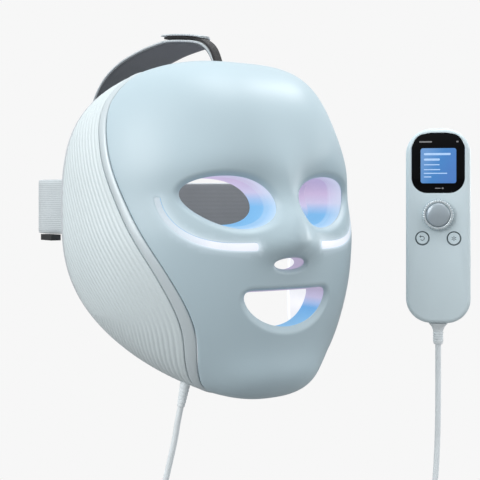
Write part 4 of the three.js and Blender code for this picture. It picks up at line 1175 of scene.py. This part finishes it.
top_band("top_strap_knit", TOP_LINE, 260, -1.3, 0.45, knit_light, [])
top_band("top_strap_lining", TOP_LINE, 260, 0.5, 1.3, knit_dark, ["top_strap"], 0.8)
HOOK_LINE = [(20.5, 112.5), (13, 125.2), (1, 132.6), (-13, 135.2), (-22, 135.4)]
TAB_LINE = [(1.8, 134.7), (-5, 136.5), (-13, 137.3), (-25, 137.4)]
top_band("hook_tape", HOOK_LINE, 60, -0.9, 0.9, hook_black, ["hook_patch"], 0.4)
top_band("strap_end_tab", TAB_LINE, 60, -0.7, 0.7, knit_light, ["top_strap_tab"])

# ------------------------------------------------------------------ cord gland on the mask
gland_profile = [(0, -0.1), (3.4, -0.1), (4.1, 0.2), (4.2, 0.8), (4.2, 3.2), (4.0, 3.9)]
for k in range(7):
    at = 5.0 + k * 2.5
    size = 3.5 - 0.13 * k
    gland_profile += [(size, at), (size, at + 1.35), (size - 0.35, at + 1.6), (size - 0.35, at + 2.3)]
gland_profile += [(2.5, 22.6), (2.45, GLAND_LENGTH - 0.3), (2.2, GLAND_LENGTH), (0, GLAND_LENGTH)]
make("gland_boot", lathe(gland_profile, GLAND_START, gland_direction, 48), cord_vinyl,
     replaced=["cord_gland"], sharp=45)

# ------------------------------------------------------------------ the remote
turn_cos, turn_sin = math.cos(REMOTE_TURN), math.sin(REMOTE_TURN)


def on_remote(shape):
    """From the remote's own frame (x right, y up, z out of its face) to the face frame."""
    p = np.asarray(shape[0], float)
    x = p[:, 0] * turn_cos + p[:, 2] * turn_sin
    z = -p[:, 0] * turn_sin + p[:, 2] * turn_cos
    return np.stack([x, p[:, 1], z], -1) + REMOTE, shape[1]


def remote_outline(grow=0.0, per_corner=12):
    half, high = 22.2 + grow, 68 + grow
    out = []
    for cx, cy, first, radius in ((1, -1, -90, 17), (1, 1, 0, 18), (-1, 1, 90, 18), (-1, -1, 180, 17)):
        r = radius + grow
        for step in range(per_corner + 1):
            a = math.radians(first + 90 * step / per_corner)
            out.append((cx * (half - r) + r * math.cos(a), cy * (high - r) + r * math.sin(a)))
    return np.array(out)


def window_outline(grow=0.0):
    return rounded_box_loop(18 + grow, 20.8 + grow, 10.5 + grow, 12) + np.array([0, 43.9])


def circle(x, y, r, count=48):
    return ellipse(x, y, r, r, count=count)


def flat_rows(rows):
    return grid(np.array([np.column_stack([xy, np.full(len(xy), z)]) for xy, z in rows]), wrap_columns=True)


def cap_between(loops, z):
    vertices, faces = triangles(loops, np.zeros((0, 2)))
    return np.column_stack([vertices, np.full(len(vertices), z)]), faces.tolist()


def cup(holes, sign=1, edge=3.0, top=9.0, wall=1.8):
    """Half of the remote's casing, rounded at its edge and hollow, with holes through its face."""
    foot = 0.15
    outer = [(remote_outline(-0.12), foot), (remote_outline(0), foot + 0.12)]
    for a in np.linspace(0, math.pi / 2, 9):
        outer.append((remote_outline(-edge * (1 - math.cos(a))), top - edge + edge * math.sin(a)))
    inner = [(remote_outline(-edge - 0.2), top - wall), (remote_outline(-wall - 0.4), top - wall - 1.4),
             (remote_outline(-wall - 0.2), foot)]
    shapes = [flat_rows(outer), flat_rows(inner), flat_rows([outer[0], inner[-1]])]
    shapes.append(cap_between([outer[-1][0]] + [h(r) for h, r in holes], top))
    shapes.append(cap_between([inner[0][0]] + [h(0) for h, _ in holes], top - wall))
    for hole, r in holes:
        quarter = np.linspace(0, math.pi / 2, 5)
        rows = [(hole(r * (1 - math.sin(a))), top - r * (1 - math.cos(a))) for a in quarter]
        rows.append((hole(0), top - wall))
        shapes.append(flat_rows(rows))
    points, faces = join(*shapes)
    if sign < 0:
        points = points * np.array([-1, 1, -1])
    return points, faces


DIAL_Y, BUTTON_X, BUTTON_Y = 7.7, 10.8, -8.7
front_holes = [(lambda g: window_outline(0.3 + g), 0.25), (lambda g: circle(0, DIAL_Y, 3.6 + g), 0.2),
               (lambda g: circle(-BUTTON_X, BUTTON_Y, 4.45 + g), 0.2),
               (lambda g: circle(BUTTON_X, BUTTON_Y, 4.45 + g), 0.2)]
make("remote_face", on_remote(cup(front_holes)), remote_plastic, "remote", ["remote_front_cover"])
SCREWS = ((-15, 50), (15, 50), (-15, -50), (15, -50))
back_holes = [(lambda g, x=x, y=y: circle(-x, y, 2.6 + g, 32), 0.3) for x, y in SCREWS]
make("remote_back_shell", on_remote(cup(back_holes, -1)), remote_plastic, "remote",
     ["remote_back_cover"])

# the window's glass, slightly domed at its edge, and what its screen shows
glass_rows = [(window_outline(-0.6), 7.8), (window_outline(0), 7.9), (window_outline(0), 8.75),
              (window_outline(-0.08), 8.92), (window_outline(-0.3), 9.0)]
make("window_glass", on_remote(join(flat_rows(glass_rows), cap_between([glass_rows[-1][0]], 9.0),
     cap_between([glass_rows[0][0]], 7.8))), glass, "remote", ["display_window"])


def plate(loop, low, high, bevel=0.02):
    rows = [(loop, low), (loop, high - bevel)]
    centre = loop.mean(0)
    top = centre + (loop - centre) * 0.995
    rows.append((top, high))
    return join(flat_rows(rows), cap_between([top], high), cap_between([loop], low))


screen_loop = rounded_box_loop(12.2, 12.2, 1.6, 6) + np.array([0.2, 41.9])
shape = plate(screen_loop, 9.0, 9.05)
make("screen_picture", on_remote(shape), screen, "remote",
     values={"lay": shape[0] - np.array([0, 42.3, 0])})


# the charging port on the casing's side: a metal rim, the dark socket in it and the socket's tongue
def port_outline(grow=0.0):
    return rounded_box_loop(4.6 + grow, 1.6 + grow, 1.5 + grow, 8)


def on_side(shape):
    p = np.asarray(shape[0], float)
    return on_remote((np.stack([p[:, 2], p[:, 0] - 30, p[:, 1] - 2.9], -1), shape[1]))


port_rows = [(0.4, 21.9), (0.4, 22.3), (0.32, 22.38), (0.08, 22.38), (0, 22.3), (0, 21.9)]
port_rim = ring([np.column_stack([port_outline(g), np.full(len(port_outline()), z)]) for g, z in port_rows])
make("charge_port_rim", on_side(port_rim), steel, "remote")
make("charge_port_inside", on_side(plate(port_outline(-0.03), 21.9, 22.23)), black_plastic, "remote")
make("charge_port_tongue", on_side(plate(rounded_box_loop(3.4, 0.4, 0.35, 5), 22.24, 22.32)), steel, "remote")


def bar(x0, x1, y, half):
    return rounded_box_loop((x1 - x0) / 2, half, half * 0.95, 4) + np.array([(x0 + x1) / 2, y])


def print_bars(name, bars, low, high, ink):
    plates = [plate(bar(*b), low, high, 0.01) for b in bars]
    make(name, on_remote(join(*plates)), ink, "remote")


# each bar's two ends, its height on the screen and half its thickness
white_bars = [(-9.8, 8.6, 50.0, 0.75), (-9.8, 1.2, 46.2, 0.75), (-9.8, 1.0, 42.6, 0.34),
              (-9.8, 1.4, 39.2, 0.34), (-9.8, 6.2, 36.6, 0.34), (-9.8, -4.6, 34.1, 0.34)]
print_bars("screen_bars", white_bars, 9.05, 9.08, screen_ink)
grey_bars = [(-13.0, -4.2, 58.6, 0.5), (12.4, 14.0, 58.6, 0.55), (-2.2, 1.8, 26.2, 0.28),
             (2.4, 3.8, 26.2, 0.55)]
print_bars("window_marks", grey_bars, 9.0, 9.03, grey_ink)

# the dial: a knurled ring round a domed cap
TEETH = 36


def toothed(radius, angle):
    if radius < 10.2:
        return np.full(len(angle), radius)
    return radius - 0.8 * (0.5 - 0.5 * np.cos(TEETH * angle)) ** 0.8


ring_profile = [(8.55, 9.95), (8.5, 10.1), (8.5, 12.2), (8.7, 12.45), (9.0, 12.5), (9.9, 12.5),
                (10.35, 12.35), (10.8, 11.95), (11.0, 11.4), (11.0, 10.4), (10.8, 10.05),
                (10.6, 9.95), (8.55, 9.95)]
make("dial_knurl", on_remote(lathe(ring_profile, (0, DIAL_Y, 0), (0, 0, 1), TEETH * 10, toothed)), knurl,
     "dial", ["dial_ring"], sharp=60)
cap_profile = [(0, 11.1), (2.0, 11.1), (2.0, 9.95), (7.8, 9.95), (8.05, 10.2), (8.1, 10.6), (8.1, 12.5),
               (8.0, 12.9), (7.7, 13.25), (7.2, 13.5), (6.2, 13.8), (4.8, 14.02), (3.2, 14.18),
               (1.6, 14.27), (0, 14.3)]
make("dial_dome", on_remote(lathe(cap_profile, (0, DIAL_Y, 0), (0, 0, 1), 96)), dial_metal, "dial",
     ["dial_cap"], sharp=60)


# the bottom and the top of the icons' print, before it is lowered onto the dished button
ICON_LOW, ICON_HIGH = 9.5, 9.56


def stroke(points, half):
    p = np.asarray(points, float)
    run = np.gradient(p, axis=0)
    run /= np.linalg.norm(run, axis=1)[:, None]
    off = np.stack([-run[:, 1], run[:, 0]], -1) * half
    rows = [np.stack([p - off, p + off], 1)] * 2
    up, down = [np.concatenate([r, np.full((*r.shape[:2], 1), z)], -1)
                for r, z in zip(rows, (ICON_HIGH, ICON_LOW))]
    return slab(up, down)


arc = [(1.35 * math.cos(a), -0.1 + 1.35 * math.sin(a)) for a in np.radians(np.linspace(100, -150, 24))]
head = stroke([(-1.9, 1.2), (-1.0, 1.25), (0.1, 1.25)], 0.28)
tip = join(stroke([(-1.9, 1.2), (-1.1, 2.0)], 0.22), stroke([(-1.9, 1.3), (-1.1, 0.5)], 0.22))
back_icon = join(stroke(arc, 0.22), head, tip)
rays = []
for a in np.radians(np.arange(6) * 60 + 90):
    rays.append(stroke([(0.35 * math.cos(a), 0.35 * math.sin(a)),
                        (1.8 * math.cos(a), 1.8 * math.sin(a))], 0.2))
star_icon = join(*rays)
button_profile = [(0, 6.4), (4.0, 6.4), (4.1, 6.5), (4.1, 9.2), (4.02, 9.4), (3.8, 9.5), (3.5, 9.46),
                  (0, 9.4)]
for name, side, icon in (("back", -1, back_icon), ("power", 1, star_icon)):
    spot = np.array([side * BUTTON_X, BUTTON_Y, 0])
    make(f"button_cap_{name}", on_remote(lathe(button_profile, spot, (0, 0, 1), 64)), remote_plastic,
         f"button_{name}", [f"button_{name}"])
    mark = (np.asarray(icon[0]) + spot - np.array([0, 0, 0.12]), icon[1])
    make(f"button_mark_{name}", on_remote(mark), icon_ink, f"button_{name}")
    bezel = [(4.5, 8.6), (4.5, 9.06), (4.56, 9.12), (4.95, 9.12), (5.02, 9.05), (5.02, 8.6), (4.5, 8.6)]
    make(f"button_bezel_{name}", on_remote(lathe(bezel, spot, (0, 0, 1), 72)), icon_ink, "remote")

# strain relief of the remote
relief_profile = [(0, -5), (2.7, -5), (2.7, 0.3), (6.3, 0.35), (6.6, 0.7), (6.3, 1.3), (5.2, 2.4),
                  (4.4, 3.6), (3.9, 5.0)]
for k in range(5):
    at = 5.6 + k * 1.75
    relief_profile += [(3.6, at), (3.6, at + 1.0), (3.25, at + 1.15), (3.25, at + 1.6)]
relief_profile += [(3.2, 14.9), (2.9, 15.4), (0, 15.4)]
make("remote_boot", on_remote(lathe(relief_profile, (0, -68, 0), (0, -1, 0), 48)), cord_vinyl, "remote",
     ["remote_strain_relief"], sharp=45)

# ------------------------------------------------------------------ CAD nodes that keep their shape
carried = {
    board_white: ["led_board_forehead", "led_board_chin", "led_board_cheek_right", "led_board_cheek_left"],
    ceramic: ["cooling_module_right", "cooling_module_left"],
    black_plastic: ["strap_clip_right", "strap_clip_left", "strap_keeper_right", "strap_keeper_left",
                    "forehead_lug", "rotary_encoder", "switch_back", "switch_power"],
    steel: ["dial_shaft", "charge_socket", *[f"remote_screw_{k}" for k in (1, 2, 3, 4)]],
    board_green: ["control_board"],
    screen: ["display_panel"],
    battery_wrap: ["battery_cell"],
}
for mat, names in carried.items():
    for name in names:
        slots = nodes[name].material_slots
        for entry in slots:
            entry.material = mat

# ------------------------------------------------------------------ floor, world and lights
floor_mesh = bpy.data.meshes.new("floor")
floor_mesh.from_pydata([(-30, -30, 0), (30, -30, 0), (30, 30, 0), (-30, 30, 0)], [], [(0, 1, 2, 3)])
floor = bpy.data.objects.new("floor", floor_mesh)
floor.location.z = cad_box[0].z - 0.012
bpy.context.scene.collection.objects.link(floor)
floor_mat, tree, shader = new_nodes("floor_pale")
shader.inputs["Base Color"].default_value = (0.26, 0.26, 0.26, 1)
shader.inputs["Roughness"].default_value = 1
shader.inputs["Specular IOR Level"].default_value = 0
PALE = (0.93, 0.93, 0.93, 1)
path = tree.nodes.new("ShaderNodeLightPath")
seen = tree.nodes.new("ShaderNodeEmission")
seen.inputs["Color"].default_value = PALE
blend = tree.nodes.new("ShaderNodeMixShader")
link(tree, path.outputs["Is Camera Ray"], blend.inputs["Fac"])
link(tree, shader.outputs["BSDF"], blend.inputs[1])
link(tree, seen.outputs["Emission"], blend.inputs[2])
output = next(n for n in tree.nodes if n.type == "OUTPUT_MATERIAL")
link(tree, blend.outputs["Shader"], output.inputs["Surface"])
floor_mesh.materials.append(floor_mat)

world_data = bpy.data.worlds.new("studio")
world_data.use_nodes = True
bpy.context.scene.world = world_data
tree = world_data.node_tree
background = next(n for n in tree.nodes if n.type == "BACKGROUND")
coordinates = tree.nodes.new("ShaderNodeTexCoord")
parts = tree.nodes.new("ShaderNodeSeparateXYZ")
link(tree, coordinates.outputs["Generated"], parts.inputs[0])
up = math_node(tree, "MULTIPLY_ADD", parts.outputs[2], 0.5)
up.node.inputs[2].default_value = 0.5
sky = ramp(tree, up, [(0.25, (0.20, 0.21, 0.22)), (0.5, (0.44, 0.46, 0.48)), (0.72, (0.72, 0.74, 0.76)),
                      (1.0, (0.86, 0.88, 0.90))])
path = tree.nodes.new("ShaderNodeLightPath")
link(tree, mix(tree, path.outputs["Is Camera Ray"], sky, PALE[:3]), background.inputs["Color"])
background.inputs["Strength"].default_value = 1.0


def area(name, location, target, size, power):
    data = bpy.data.lights.new(name, "AREA")
    data.shape = "RECTANGLE"
    data.size, data.size_y = size
    data.energy = power
    lamp = bpy.data.objects.new(name, data)
    lamp.location = location
    lamp.rotation_mode = "QUATERNION"
    lamp.rotation_quaternion = (Vector(target) - Vector(location)).to_track_quat("-Z", "Y")
    bpy.context.scene.collection.objects.link(lamp)


area("side", (-1.3, -0.1, 0.6), (0, 0, 0), (0.9, 0.9), 13)
area("top", (0.1, -0.35, 1.3), (0, -0.05, 0), (0.9, 0.8), 7.4)
area("front", (0.62, -0.80, 0.16), (0, -0.08, 0.02), (0.22, 0.45), 1.6)
area("edge", (0.74, -0.12, 0.92), (0, -0.05, 0.06), (0.3, 0.3), 3.2)
area("flank", (1.0, -0.22, 0.12), (0, -0.1, 0), (0.12, 0.3), 2.4)
